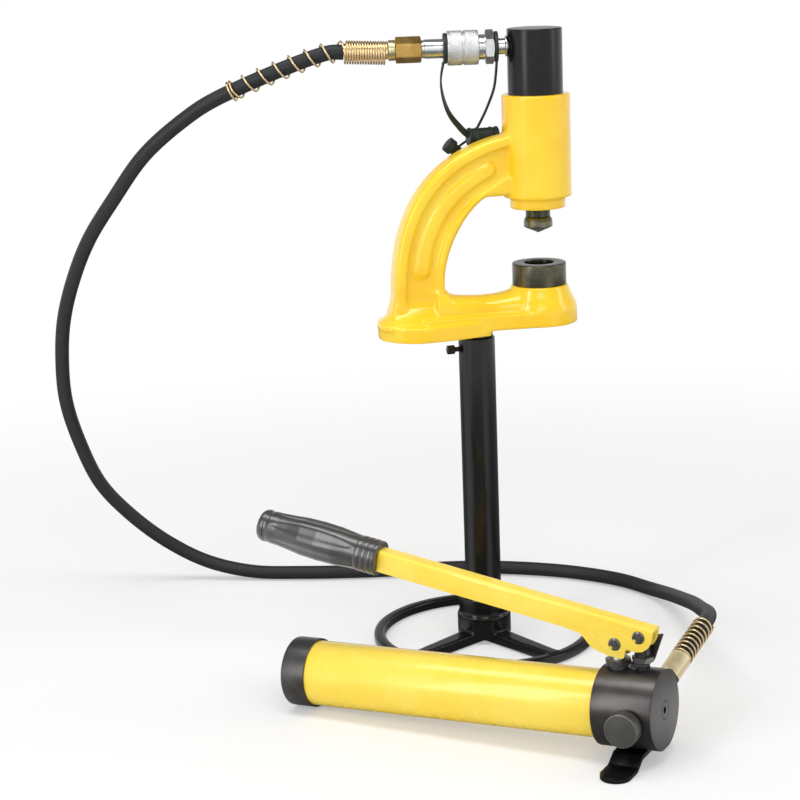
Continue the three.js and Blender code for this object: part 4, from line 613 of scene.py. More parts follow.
def cast(solids, grain, softness):
    """Solids run together into one casting with soft corners."""
    remesh = {"mode": "VOXEL", "voxel_size": grain, "use_smooth_shade": True}
    return worked(together(*solids), ("REMESH", remesh), ("SMOOTH", {"factor": 0.5, "iterations": softness}))


def enamel(name, deep, bright, coat=0.5, roughness=0.18):
    """Thick glossy paint: a little deeper in colour here and there, with a soft ripple and a clear top."""
    finish = Finish(name, coat_weight=coat, coat_roughness=0.05, specular_ior_level=0.4)
    where = finish.place()
    cloud = finish.noise(where, 0.05, 3)
    finish.set("Base Color", finish.mix(cloud.rise(0.3, 0.7), deep, bright))
    finish.set("Roughness", roughness + finish.noise(where, 0.012, 4) * 0.1)
    finish.bump(finish.noise(where, 0.005, 1), 0.0002, 0.3)
    return finish


def ring_foot():
    reach = RING_RADIUS - RING_BAR / 2
    plan = [(0, -SPOKE_ROOT / 2), (reach, -SPOKE_WIDTH / 2), (reach, SPOKE_WIDTH / 2), (0, SPOKE_ROOT / 2)]
    solids = [turned(RING_EDGE, RING_RADIUS - RING_BAR, 0, (RING_RADIUS, RING_HEIGHT), sides=FINE_SIDES)]
    for angle in SPOKE_TURNS:
        solids.append(placed(prism(plan, GAP, SPOKE_HEIGHT), turn(math.radians(angle), "Z")))
    hub = [(0, HUB_LIFT), (HUB_RADIUS, HUB_LIFT), (HUB_RADIUS, HUB_LEDGE),
           (HUB_COLLAR, HUB_LEDGE + RING_EDGE), (HUB_COLLAR, HUB_TOP), (0, HUB_TOP)]
    solids.append(lathe(rounded(hub, RING_EDGE / 2)))
    bore = hole(POST_RADIUS + GAP, HUB_LIFT + HUB_FLOOR, 2 * HUB_TOP)
    casting = cast(solids, RING_GRAIN, RING_SOFTNESS)
    return combined("DIFFERENCE", casting, bore, hole(2 * RING_RADIUS, -HUB_TOP, 0))


black_paint = enamel("black_enamel", paint(10, 9, 11), paint(17, 16, 18), 0.1)
piece("ring_foot_casting", ring_foot(), STAND, "black_enamel", black_paint)

# Post and spigot
# The post is a 38 mm steel tube pushed into the hub. A turned spigot in its top carries the head, and a
# thumb screw through the tube's wall holds it at its height.
POST_WALL = 0.003
POST_TOP = 0.3305
POST_EDGE = 0.001
SPIGOT_LENGTH = 0.06
SPIGOT_COLLAR = 0.017
SPIGOT_SHOW = 0.0055
STUD_RADIUS = 0.011
STUD_LENGTH = 0.012
THUMB_DROP = 0.012
THUMB_SHANK = 0.0025
THUMB_HEAD = 0.0047
THUMB_HEAD_LENGTH = 0.008
THUMB_REACH = 0.0052
THUMB_FLUTES = 18
THUMB_FLUTE_DEPTH = 0.0004
FOOT_BOTTOM = POST_TOP + SPIGOT_SHOW
spigot_radius = POST_RADIUS - POST_WALL - GAP
THUMB_PLACE = shift(z=POST_TOP - THUMB_DROP) @ turn(-QUARTER, "Y")


def post_tube():
    low, inside = HUB_LIFT + HUB_FLOOR + GAP, POST_RADIUS - POST_WALL
    tube = turned(POST_EDGE, inside, low, (POST_RADIUS, POST_TOP), sides=ROUND_SIDES)
    screw_hole = hole(THUMB_SHANK + GAP, 0, 2 * POST_RADIUS, SCREW_SIDES)
    return combined("DIFFERENCE", tube, placed(screw_hole, THUMB_PLACE))


def head_spigot():
    collar, stud = (SPIGOT_COLLAR, FOOT_BOTTOM - GAP), (STUD_RADIUS, FOOT_BOTTOM + STUD_LENGTH)
    return turned(POST_EDGE / 2, 0, POST_TOP - SPIGOT_LENGTH, (spigot_radius, POST_TOP + GAP), collar, stud)


def flutes(count, depth, low, high):
    """Grip grooves cut along a round head between two heights."""

    def relief(angle, height, radius):
        inside = low < height < high and radius > THUMB_SHANK * 1.2
        return -depth * (0.5 + 0.5 * math.cos(count * angle)) if inside else 0

    return relief


def thumb_screw():
    start = POST_RADIUS + THUMB_REACH
    end = start + THUMB_HEAD_LENGTH
    outline = rounded(stepped(0, spigot_radius + GAP, (THUMB_SHANK, start), (THUMB_HEAD, end)), POST_EDGE)
    return lathe(outline, 8 * THUMB_FLUTES, flutes(THUMB_FLUTES, THUMB_FLUTE_DEPTH, start, end))


piece("post_tube_skin", post_tube(), STAND, "black_enamel", black_paint)
piece("head_spigot_turned", head_spigot(), STAND, "black_enamel", black_paint)
piece("thumb_screw_fluted", thumb_screw(), STAND @ THUMB_PLACE, "black_enamel", black_paint, "thumb")

# C-frame
# One steel casting in yellow enamel: a foot over the post, the jaw with the die's seat, the column and arch
# with a pocket and a raised pad in each face, and the barrel that the ram's cylinder screws into.
FOOT_THICKNESS = 0.016
FOOT_RADIUS = 0.042
FOOT_CENTRE = 0.062
JAW_BOTTOM = 0.341
JAW_FLANGE = 0.016
JAW_RADIUS = 0.039
SEAT_RADIUS = 0.0293
SEAT_TOP = 0.381
WAIST = 0.033
WAIST_X = 0.008
ARCH_WIDTH = 0.03
COLUMN_BACK = 0.0885
THROAT_DEPTH = 0.1048
THROAT_TOP = 0.4768
ARCH_TOP = 0.541
COLUMN_FLARE = 0.008
LIP_OUTER = 0.0045
RIM_ROUND = 0.0055
RIM_OUTER = 0.0115
RIM_INNER = 0.0078
POCKET_DEPTH = 0.005
POCKET_BOTTOM = 0.363
PAD_WIDTH = 0.013
PAD_HEIGHT = 0.004
PAD_START = 3
PAD_STOP = 25
PAD_END_STEPS = 12
BARREL_RADIUS = 0.0354
BARREL_BOTTOM = 0.473
BARREL_TOP = 0.579
SKIRT_RADIUS = 0.0288
SKIRT_BOTTOM = 0.4615
CYLINDER_FLOOR = 0.492
CYLINDER_RADIUS = 0.0283
BUSH_RADIUS = 0.018
SLUG_RADIUS = 0.019
DIE_SPIGOT = 0.024
DIE_SPIGOT_LENGTH = 0.009
SET_SCREW = 0.003
FRAME_GRAIN = 0.0012
FRAME_SOFTNESS = 9
ARCH_SOFTNESS = 16
CREST_STEPS = 27
ROOT_STEPS = 64
EASE_LIMIT = math.radians(35)
ARCH_BACK_SHARES = ((0, 0.11), (0, 0.66), (0.32, 0.94), (0.84, 1))
THROAT_SHARES = ((0, 0.11), (0, 0.45), (0.22, 0.86), (0.44, 1))
POCKET_SHARES = ((0, 0.11), (0, 0.49), (0.165, 0.88), (0.716, 1.13))
CREST_SHARES = (
    (-0.1, 1.3, 0.6), (0.02, 1.15, 0.6), (0.05, 0.96, 0.6), (0.12, 0.81, 0.58), (0.24, 0.75, 0.56),
    (0.4, 0.71, 0.56), (0.54, 0.73, 0.6), (0.64, 0.79, 0.68), (0.74, 0.88, 0.78), (0.84, 0.98, 0.84),
)
BOSS_SHARES = ((1, -0.2), (1, 0.06), (0.84, 0.25), (0.46, 0.55), (0.17, 0.85), (0, 1))
ROOT_SHARES = (
    (-0.4, 1.6, 2.1), (-0.2, 1.6, 2.1), (-0.08, 1.42, 1.8), (0.08, 1.26, 1.46), (0.25, 1.17, 1.15),
    (0.45, 1.1, 0.85), (0.7, 1.04, 0.68), (1.1, 1, 0.6),
)
jaw_top = JAW_BOTTOM + JAW_FLANGE
seat_rise = SEAT_TOP - jaw_top
column_face = PUNCH_REACH - THROAT_DEPTH
SCREW_PLACE = shift(z=SEAT_TOP - DIE_SPIGOT_LENGTH / 2) @ ALONG_Y


def bezier(ends, steps=28):
    """Points along a curve from its two ends and the two points that pull it."""
    a, b, c, d = (Vector(point) for point in ends)
    curve = []
    for k in range(steps + 1):
        t = k / steps
        curve.append(a * (1 - t) ** 3 + b * (3 * t * (1 - t) ** 2) + c * (3 * t**2 * (1 - t)) + d * t**3)
    return [tuple(point) for point in curve]


def in_box(shares, left, bottom, width, height):
    return [(left + across * width, bottom + rise * height) for across, rise in shares]


def arch_curve(inset):
    back = inset - COLUMN_BACK
    return in_box(ARCH_BACK_SHARES, back, jaw_top, PUNCH_REACH - back, ARCH_TOP - inset - jaw_top)


def throat_curve(inset, shares=THROAT_SHARES):
    face = column_face - inset
    return in_box(shares, face, SEAT_TOP, PUNCH_REACH - face, THROAT_TOP + inset - SEAT_TOP)


def upright(outline, thickness, y=0):
    """An outline of (x, z) points standing with its thickness along Y."""
    return placed(prism(outline, -thickness / 2, thickness / 2), shift(y=y) @ turn(QUARTER, "X"))


def pad_outline(outer, inner):
    """A band along the middle between two lines, with round ends."""
    middle = [(Vector(a) + Vector(b)) / 2 for a, b in zip(outer, inner)][PAD_START:PAD_STOP]
    half, outline = PAD_WIDTH / 2, []
    for line in (middle, middle[::-1]):
        for point, after in zip(line, line[1:]):
            ahead = (after - point).normalized() * half
            reflection_lobes = Vector((ahead.y, -ahead.x))
            outline.append(point + reflection_lobes)
        turns = [math.pi * k / PAD_END_STEPS for k in range(PAD_END_STEPS)]
        outline += [line[-1] + reflection_lobes * math.cos(t) + ahead * math.sin(t) for t in turns]
    return outline


def eased(mesh, width, segments=2, limit=EASE_LIMIT):
    """The mesh with its hard edges broken."""
    bevel = {"width": width, "segments": segments, "limit_method": "ANGLE", "angle_limit": limit}
    return worked(mesh, ("BEVEL", bevel))


def arch():
    """The column and arch, with the pocket in each face and the pad along the pocket's middle."""
    flare, low = -COLUMN_BACK - COLUMN_FLARE, JAW_BOTTOM + LIP_OUTER
    back, throat = bezier(arch_curve(0)), bezier(throat_curve(0))
    outline = [(flare, low), (flare, FOOT_BOTTOM + FOOT_THICKNESS), *back, (PUNCH_REACH, ARCH_TOP),
               (PUNCH_REACH, THROAT_TOP), *reversed(throat), (column_face, low)]
    body = eased(upright(outline[::-1], ARCH_WIDTH), RIM_ROUND, 4, SHARP)
    outer, inner = bezier(arch_curve(RIM_OUTER)), bezier(throat_curve(RIM_INNER, POCKET_SHARES))
    hollow = [(outer[0][0], POCKET_BOTTOM), *outer, (PUNCH_REACH, outer[-1][1]),
              (PUNCH_REACH, inner[-1][1]), *reversed(inner), (inner[0][0], POCKET_BOTTOM)]
    room = POCKET_DEPTH * 2
    for face in (-1, 1):
        pocket = upright(hollow, room, face * ARCH_WIDTH / 2)
        shelf = upright(pad_outline(outer, inner), room, face * (ARCH_WIDTH / 2 - room + PAD_HEIGHT))
        body = combined("DIFFERENCE", body, combined("DIFFERENCE", pocket, shelf))
    return cast([body], FRAME_GRAIN, ARCH_SOFTNESS)


def arc(x, y, radius, start, stop, steps=24):
    turns = [math.radians(start + (stop - start) * k / steps) for k in range(steps + 1)]
    return [(x + a, y + b) for a, b in (polar(radius, t) for t in turns)]


def pulled(start, pull, stop, steps=12):
    """Points along a curve that leaves towards one point and arrives from it."""
    third = [tuple(Vector(a).lerp(Vector(pull), 2 / 3)) for a in (start, stop)]
    return bezier((start, third[0], third[1], stop), steps)


def jaw_arm():
    loops = []
    for across, up, wide in CREST_SHARES:
        x, half, crest = column_face + across * THROAT_DEPTH, wide * WAIST, up * seat_rise
        turns = [math.pi * k / CREST_STEPS for k in range(CREST_STEPS + 1)]
        back = [(x, half * math.cos(t), jaw_top + crest * abs(math.sin(t)) ** 0.8) for t in turns]
        loops.append([*back, (x, -half, JAW_BOTTOM + LIP_OUTER), (x, half, JAW_BOTTOM + LIP_OUTER)])
    return loft(loops)


def column_root():
    middle, deep_half = (column_face - COLUMN_BACK) / 2, (COLUMN_BACK + column_face) / 2
    loops = []
    for up, deep, wide in ROOT_SHARES:
        loop = []
        for c, s in disc(1, ROOT_STEPS):
            square = 0.5 + 0.5 / max(abs(c), abs(s))
            x, y = middle + deep_half * deep * c * square, ARCH_WIDTH / 2 * wide * s * square
            loop.append((x, y, jaw_top + up * seat_rise))
        loops.append(loop)
    return loft(loops)


def base_plates():
    """The foot over the post, and the jaw's flange."""
    waist = (WAIST_X, -WAIST)
    jaw = [(-FOOT_CENTRE, -WAIST), waist]
    jaw += pulled(waist, (PUNCH_REACH - JAW_RADIUS, -WAIST), (PUNCH_REACH, -JAW_RADIUS))
    jaw += arc(PUNCH_REACH, 0, JAW_RADIUS, -90, 90)
    jaw += pulled((PUNCH_REACH, JAW_RADIUS), (PUNCH_REACH - JAW_RADIUS, WAIST), (WAIST_X, WAIST))
    jaw.append((-FOOT_CENTRE, WAIST))
    inner = WAIST - LIP_OUTER / 2
    foot = arc(-FOOT_CENTRE, 0, FOOT_RADIUS, 90, 270)
    foot += pulled((-FOOT_CENTRE, -FOOT_RADIUS), (column_face, -FOOT_RADIUS), (WAIST_X, -inner))
    foot += pulled((WAIST_X, inner), (column_face, FOOT_RADIUS), (-FOOT_CENTRE, FOOT_RADIUS))
    return [prism(jaw, JAW_BOTTOM, jaw_top), prism(foot, FOOT_BOTTOM, FOOT_BOTTOM + FOOT_THICKNESS)]


def c_frame():
    out = JAW_RADIUS - GAP - SEAT_RADIUS
    boss = [(SEAT_RADIUS + side * out, jaw_top + up * seat_rise) for side, up in BOSS_SHARES]
    boss = lathe([(0, boss[0][1]), *boss, (0, SEAT_TOP)])
    barrel = hole(BARREL_RADIUS, BARREL_BOTTOM, BARREL_TOP, ROUND_SIDES)
    skirt = hole(SKIRT_RADIUS, SKIRT_BOTTOM, BARREL_BOTTOM + LIP_OUTER, ROUND_SIDES)
    about_punch = [placed(solid, shift(PUNCH_REACH)) for solid in (boss, barrel, skirt)]
    solids = [arch(), *base_plates(), jaw_arm(), column_root(), *about_punch]
    bush, bore = (BUSH_RADIUS + GAP, CYLINDER_FLOOR), (CYLINDER_RADIUS + GAP, 2 * BARREL_TOP)
    bores = lathe(stepped(0, SKIRT_BOTTOM - LIP_OUTER, bush, bore))
    slug = (SLUG_RADIUS, SEAT_TOP - DIE_SPIGOT_LENGTH)
    seat = lathe(stepped(0, 0, slug, (DIE_SPIGOT + GAP, SEAT_TOP + DIE_SPIGOT_LENGTH)))
    stud = hole(STUD_RADIUS + GAP, 0, FOOT_BOTTOM + STUD_LENGTH + GAP)
    screw = placed(hole(SET_SCREW + GAP, DIE_SPIGOT, 2 * DIE_SPIGOT, SCREW_SIDES), SCREW_PLACE)
    bores, seat, screw = (placed(tool, shift(PUNCH_REACH)) for tool in (bores, seat, screw))
    return combined("DIFFERENCE", cast(solids, FRAME_GRAIN, FRAME_SOFTNESS), bores, seat, stud, screw)


frame_paint = enamel("frame_enamel", paint(255, 202, 24), paint(255, 215, 48))
piece("c_frame_casting", c_frame(), STAND, "frame_enamel", frame_paint)

# Ram
# The cylinder is turned steel in gloss black. Rod, punch and die are oiled tool steel with fine turning
# lines: the punch has a neck ring and a short cone, and the die's bore opens out below its land.
CYLINDER_TOP = 0.6455
CYLINDER_CROWN = 0.0115
CYLINDER_BORE = 0.021
CYLINDER_EDGE = 0.0012
BUSH_HEIGHT = 0.006
PORT_RADIUS = 0.007
ROD_RADIUS = 0.01275
ROD_BOTTOM = 0.4524
ROD_STUD = 0.008
ROD_STUD_LENGTH = 0.012
PISTON_BOTTOM = 0.6
PUNCH_RADIUS = 0.015
PUNCH_LENGTH = 0.0175
PUNCH_CONE = 0.007
PUNCH_NECK = 0.0024
PUNCH_GROOVE = 0.0007
PUNCH_SHANK = 0.008
PUNCH_SHANK_LENGTH = 0.022
DIE_RADIUS = 0.0282
DIE_TOP = 0.4037
DIE_BORE = 0.0157
DIE_LAND = 0.013
DIE_RELIEF = 0.018
DIE_SCREW_LENGTH = 0.009
SCREW_SOCKET = 0.0016
RETURN_WIRE = 0.0014
RETURN_RADIUS = 0.017
RETURN_TURNS = 7
COIL_STEPS = 40
COIL_SIDES = 10
HEX_SIDES = 6
bush_top = CYLINDER_FLOOR + GAP + BUSH_HEIGHT


def machined(name, dark, bright, roughness=0.28, lines=0.0003, top_shade=None, **constants):
    """Turned metal: fine lines round the piece, handling marks and a little oil. A colour given for the top
    is painted over the faces that point up, as painted shade.
    """
    finish = Finish(name, **{"metallic": 1.0, **constants})
    rings = finish.noise(finish.place("UV", (0.002, 1, 1)), lines, 3)
    marks = finish.noise(finish.place(), 0.01, 4)
    base = finish.mix((rings + marks).rise(0.7, 1.3), dark, bright)
    # Painted shade: faces that point up take the darker top colour.
    if top_shade:
        up = finish.node("SeparateXYZ", {}, {0: finish.node("TexCoord", output="Normal")}, output="Z")
        base = finish.mix(up.rise(0.8, 0.98), base, top_shade)
    finish.set("Base Color", base)
    finish.set("Roughness", roughness + marks * 0.08)
    finish.bump(rings, 0.00002, 0.4)
    return finish


def ram_cylinder():
    bore, wall = (CYLINDER_BORE, bush_top + GAP), (CYLINDER_RADIUS, CYLINDER_TOP)
    cup = turned(CYLINDER_EDGE, 0, CYLINDER_TOP - CYLINDER_CROWN, bore, wall, sides=FINE_SIDES)
    port = hole(PORT_RADIUS, ROD_RADIUS, 2 * DIE_RADIUS)
    return combined("DIFFERENCE", cup, placed(port, PUNCH.inverted() @ PORT))


def ram_rod():
    ceiling = ROD_BOTTOM + PUNCH_SHANK_LENGTH + GAP
    socket, rod = (PUNCH_SHANK + GAP, ROD_BOTTOM), (ROD_RADIUS, PISTON_BOTTOM - GAP)
    return turned(GAP, 0, ceiling, socket, rod, (ROD_STUD, PISTON_BOTTOM + ROD_STUD_LENGTH))


def punch():
    tip, top, end = ROD_BOTTOM - PUNCH_LENGTH, ROD_BOTTOM - GAP, ROD_BOTTOM + PUNCH_SHANK_LENGTH
    edge, ring, step = tip + PUNCH_CONE, top - PUNCH_NECK, PUNCH_GROOVE
    groove = PUNCH_RADIUS - step
    outline = [(0, tip), (PUNCH_RADIUS - step, edge - step), (PUNCH_RADIUS, edge),
               (PUNCH_RADIUS, ring - 3 * step), (groove, ring - 2 * step), (groove, ring - step),
               (PUNCH_RADIUS - step / 2, ring - step / 2), (ROD_RADIUS, top), (PUNCH_SHANK, top),
               (PUNCH_SHANK, end), (0, end)]
    return lathe(rounded(outline, GAP), ROUND_SIDES)


def die():
    low, shoulder, land = SEAT_TOP - DIE_SPIGOT_LENGTH + GAP, SEAT_TOP + GAP, DIE_TOP - DIE_LAND
    outline = [(DIE_RELIEF, low), (DIE_SPIGOT, low), (DIE_SPIGOT, shoulder), (DIE_RADIUS, shoulder),
               (DIE_RADIUS, DIE_TOP, CYLINDER_EDGE), (DIE_BORE, DIE_TOP), (DIE_BORE, land),
               (DIE_RELIEF, land - 4 * GAP)]
    return lathe(rounded(outline, 2 * GAP, closed=True), FINE_SIDES)


def set_screw(length):
    socket = prism(disc(SCREW_SOCKET, HEX_SIDES), length / 2, 2 * length)
    return combined("DIFFERENCE", turned(GAP, 0, 0, (SET_SCREW, length), sides=PIN_SIDES), socket)


def return_spring():
    low, high = bush_top + GAP + RETURN_WIRE, PISTON_BOTTOM - GAP - RETURN_WIRE
    line = []
    for k in range(RETURN_TURNS * COIL_STEPS + 1):
        height = low + (high - low) * (k / (RETURN_TURNS * COIL_STEPS))
        line.append(Vector((*polar(RETURN_RADIUS, math.tau * k / COIL_STEPS), height)))
    return swept(line, lambda distance: disc(RETURN_WIRE, COIL_SIDES))


gloss_black = machined(
    "gloss_black", paint(12, 11, 13), paint(22, 20, 22), 0.22, metallic=0.0, specular_ior_level=0.32
)
tool_steel = machined("tool_steel", paint(74, 75, 64), paint(98, 99, 86), 0.2)
piece("ram_cylinder_turned", ram_cylinder(), PUNCH, "black_enamel", gloss_black)
piece("ram_rod_turned", ram_rod(), PUNCH, "tool_steel", tool_steel, "ram")
punch_steel = machined("punch_steel", paint(106, 105, 90), paint(138, 136, 118), 0.18)
# The die's top is painted darker, as painted shade.
die_steel = machined("die_steel", paint(84, 82, 68), paint(108, 105, 90), 0.2, top_shade=paint(44, 45, 41))
piece("punch_turned", punch(), PUNCH, "tool_steel", punch_steel, "ram")
piece("die_turned", die(), PUNCH, "tool_steel", die_steel)
screw_axes = PUNCH @ SCREW_PLACE @ shift(z=DIE_SPIGOT + GAP)
piece("die_set_screw_socketed", set_screw(DIE_SCREW_LENGTH), screw_axes, "tool_steel", tool_steel)
spring = piece("return_spring_coil", return_spring(), PUNCH, "tool_steel", tool_steel)
tuple(along(PUNCH, bush_top + GAP))
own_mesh(spring)

# Coupler line
# A screwed quick coupler in bright zinc: adapter, hexagon body, collar knurled in two bands, and nipple. A
# brass hexagon adapter follows, then the hose's insert and its brass ferrule, all turned about one line.
PIPE_BORE = 0.0032
ADAPTER_INSERT = 0.0063
ADAPTER_FLANGE = 0.0017
ADAPTER_FLANGE_RADIUS = 0.0105
ADAPTER_BODY = 0.0112
ADAPTER_BODY_RADIUS = 0.0082
ADAPTER_THREAD = 0.0124
COUPLER_HEX_RADIUS = 0.0176
COUPLER_HEX_LENGTH = 0.0092
COUPLER_NECK = 0.0068
COUPLER_NECK_RADIUS = 0.0128
COLLAR_LENGTH = 0.0318
COLLAR_RADIUS = 0.0176
COLLAR_BORE = 0.0118
COLLAR_GROOVE = 0.0011
COLLAR_LIP = 0.0028
KNURL_COUNT = 44
KNURL_PITCH = 0.0026
KNURL_DEPTH = 0.00028
KNURL_STEP = 0.0003
KNURL_CUT_SIDES = 12
SOCKET_INSET = 0.0041
SOCKET_RADIUS = 0.0081
NIPPLE_INSET = 0.0061
NIPPLE_RADIUS = 0.0098
NIPPLE_SHOW = 0.0261
NUT_LENGTH = 0.0263
NUT_RADIUS = 0.0135
STUB_RADIUS = 0.0065
STUB_LENGTH = 0.012
INSERT_COLLAR = 0.0069
INSERT_RADIUS = 0.0105
FERRULE_RADIUS = 0.0089
TAIL_RADIUS = 0.004
TAIL_LENGTH = 0.034
METAL_EDGE = 0.0006
adapter_flange = CYLINDER_RADIUS + GAP
adapter_body = adapter_flange + ADAPTER_FLANGE
adapter_shoulder = adapter_body + ADAPTER_BODY
coupler_neck = adapter_shoulder + GAP + COUPLER_HEX_LENGTH
collar_start = coupler_neck + COUPLER_NECK
collar_end = collar_start + COLLAR_LENGTH
nipple_end = collar_end + NIPPLE_SHOW
nut_start = nipple_end + GAP
nut_end = nut_start + NUT_LENGTH
insert_end = nut_end + GAP + INSERT_COLLAR
ferrule_start = insert_end + GAP


def hexagon(radius, low, high):
    """A hexagon bar with its corners turned off at both ends."""
    slope = radius * (1 - math.cos(math.pi / HEX_SIDES))
    shell = [(0, low), (radius - slope, low), (radius, low + slope / 2), (radius, high - slope / 2),
             (radius - slope, high), (0, high)]
    return combined("INTERSECT", prism(disc(radius, HEX_SIDES), low, high), lathe(shell))


def inlet_adapter():
    thread, start = PORT_RADIUS - GAP, CYLINDER_RADIUS - ADAPTER_INSERT
    end = adapter_shoulder + ADAPTER_THREAD
    flange, body = (ADAPTER_FLANGE_RADIUS, adapter_body), (ADAPTER_BODY_RADIUS, adapter_shoulder)
    return turned(METAL_EDGE, PIPE_BORE, start, (thread, adapter_flange), flange, body, (thread, end))


def coupler_body():
    neck, sleeve = (COUPLER_NECK_RADIUS, collar_start - GAP), (COLLAR_BORE - GAP, collar_end - 4 * GAP)
    hexed = hexagon(COUPLER_HEX_RADIUS, adapter_shoulder + GAP, coupler_neck)
    body = combined("UNION", hexed, turned(METAL_EDGE, 0, coupler_neck - GAP, neck, sleeve))
    inlet = (PORT_RADIUS, adapter_shoulder + ADAPTER_THREAD + GAP)
    pipe, socket = (PIPE_BORE, collar_start + SOCKET_INSET), (SOCKET_RADIUS, 2 * collar_end)
    return combined("DIFFERENCE", body, lathe(stepped(0, 0, inlet, pipe, socket)))


def knurled(bands, inside):
    """Crossed cuts round a turned piece, within each band of heights and outside a radius."""

    def relief(angle, height, radius):
        if radius < inside or not any(low < height < high for low, high in bands):
            return 0
        climb = math.tau * height / KNURL_PITCH
        cut = max(math.cos(KNURL_COUNT * angle + climb), math.cos(KNURL_COUNT * angle - climb))
        return -KNURL_DEPTH * (0.5 + 0.5 * cut) ** 3

    return relief


def coupler_collar():
    middle, groove = (collar_start + collar_end) / 2, COLLAR_GROOVE
    bands = [(collar_start + COLLAR_LIP, middle - 2 * groove), (middle + 2 * groove, collar_end - COLLAR_LIP)]
    low = COLLAR_RADIUS - groove
    outline = [(COLLAR_BORE, collar_start), (COLLAR_RADIUS, collar_start, groove)]
    for start, stop in bands:
        outline += [(COLLAR_RADIUS, start - 2 * GAP), (COLLAR_RADIUS - GAP, start - GAP)]
        rows = round((stop - start) / KNURL_STEP)
        outline += [(COLLAR_RADIUS, start + (stop - start) * k / rows, 0) for k in range(rows + 1)]
        outline += [(COLLAR_RADIUS - GAP, stop + GAP), (COLLAR_RADIUS, stop + 2 * GAP)]
        if start == bands[0][0]:
            outline += [(COLLAR_RADIUS, middle - groove, GAP), (low, middle - groove / 2, GAP)]
            outline += [(low, middle + groove / 2, GAP), (COLLAR_RADIUS, middle + groove, GAP)]
    outline += [(COLLAR_RADIUS, collar_end, groove), (COLLAR_BORE, collar_end)]
    outline = rounded(outline, GAP / 2, closed=True)
    return lathe(outline, KNURL_CUT_SIDES * KNURL_COUNT, knurled(bands, low))


def coupler_nipple():
    start, shoulder = collar_start + NIPPLE_INSET, collar_end - GAP
    nose, floor = SOCKET_RADIUS - GAP, nipple_end - STUB_LENGTH - GAP
    lip = nipple_end - 3 * COLLAR_GROOVE
    outline = [(PIPE_BORE, start), (nose, start), (nose, shoulder), (NIPPLE_RADIUS, shoulder),
               (NIPPLE_RADIUS, lip), (NIPPLE_RADIUS - METAL_EDGE, lip + METAL_EDGE),
               (NIPPLE_RADIUS - METAL_EDGE, nipple_end),
               (STUB_RADIUS + GAP, nipple_end), (STUB_RADIUS + GAP, floor), (PIPE_BORE, floor)]
    return lathe(rounded(outline, METAL_EDGE, closed=True), ROUND_SIDES)


def adapter_nut():
    stub = hole(STUB_RADIUS, nipple_end - STUB_LENGTH, nut_end - GAP)
    body = combined("UNION", hexagon(NUT_RADIUS, nut_start, nut_end), stub)
    through = hole(PIPE_BORE, 0, 2 * nut_end)
    socket = hole(STUB_RADIUS + GAP, nut_end - STUB_LENGTH - GAP, 2 * nut_end)
    return eased(combined("DIFFERENCE", body, through, socket), GAP)


def hose_insert():
    stub, collar = (STUB_RADIUS, nut_end + GAP), (INSERT_RADIUS, insert_end)
    return turned(METAL_EDGE, 0, nut_end - STUB_LENGTH, stub, collar, (TAIL_RADIUS, insert_end + TAIL_LENGTH))


def ferrule(radius, start, end, tail):
    """A brass sleeve pressed over the hose's end, with a rolled lip at each mouth."""
    bore, lip = TAIL_RADIUS + GAP, 2 * METAL_EDGE
    outline = [(0, tail + GAP), (bore, tail + GAP), (bore, start), (radius, start),
               (radius, start + 2 * lip), (radius - GAP, start + 3 * lip), (radius - GAP, end - 3 * lip),
               (radius, end - 2 * lip), (radius, end), (0, end)]
    return lathe(rounded(outline, METAL_EDGE), ROUND_SIDES)


zinc = machined("bright_zinc", paint(204, 206, 207), paint(234, 235, 233), 0.2, 0.0006)
satin_zinc = machined("satin_zinc", paint(212, 214, 214), paint(236, 237, 235), 0.42, 0.0006)
brass = machined("turned_brass", paint(216, 178, 104), paint(246, 220, 156), 0.24, 0.0006)
# A darker copy of the brass for the adapter nut, painted shade on its faces.
shade_painted_brass = machined("shade_painted_brass", paint(176, 138, 68), paint(212, 176, 104), 0.3, 0.0006)
insert_zinc = machined("yellow_zinc", paint(196, 180, 128), paint(226, 218, 178), 0.28)
piece("inlet_adapter_turned", inlet_adapter(), PORT, "zinc", zinc)
piece("coupler_body_hexed", coupler_body(), PORT, "zinc", zinc)
piece("coupler_collar_knurled", coupler_collar(), PORT, "zinc", satin_zinc, "collar")
piece("coupler_nipple_turned", coupler_nipple(), PORT, "zinc", zinc)
piece("adapter_nut_hexed", adapter_nut(), PORT, "brass", shade_painted_brass)
piece("hose_insert_turned", hose_insert(), PORT, "zinc", insert_zinc)
punch_ferrule = ferrule(FERRULE_RADIUS, ferrule_start, FERRULE_END, insert_end + TAIL_LENGTH)
piece("ferrule_punch_end_turned", punch_ferrule, PORT, "brass", brass)

# Dust cap and dust plug
# Moulded rubber, each in one piece with its strap and the ring that holds the strap on the coupler line.
# They hang behind the arch: the cap has beads round its mouth, and the plug a flange to pull it by.
STRAP_RING = 0.0155
STRAP_RING_WIDTH = 0.0036
STRAP_WIDTH = 0.007
STRAP_THICKNESS = 0.002
STRAP_TWIST = math.radians(75)
STRAP_DROP = 0.087
CAP_RADIUS = 0.01
CAP_LENGTH = 0.032
CAP_WALL = 0.002
PLUG_RADIUS = 0.008
PLUG_LENGTH = 0.02
PLUG_LEAN = math.radians(-50)
RUBBER_EDGE = 0.0008
CAP_STRAP_SHARES = (
    (-0.02, 0, -0.155), (-0.055, 0, -0.32), (-0.055, 0.01, -0.44), (-0.02, 0.02, -0.62),
    (0.05, 0.05, -0.78), (0.16, 0.08, -0.92), (0.27, 0.09, -1.03), (0.37, 0.09, -1.07),
)
CAP_PLACE_SHARES = (0.46, 0.09, -1.07)
BEAD_SHARES = (-0.9, -0.4, 0.5, 0.9)
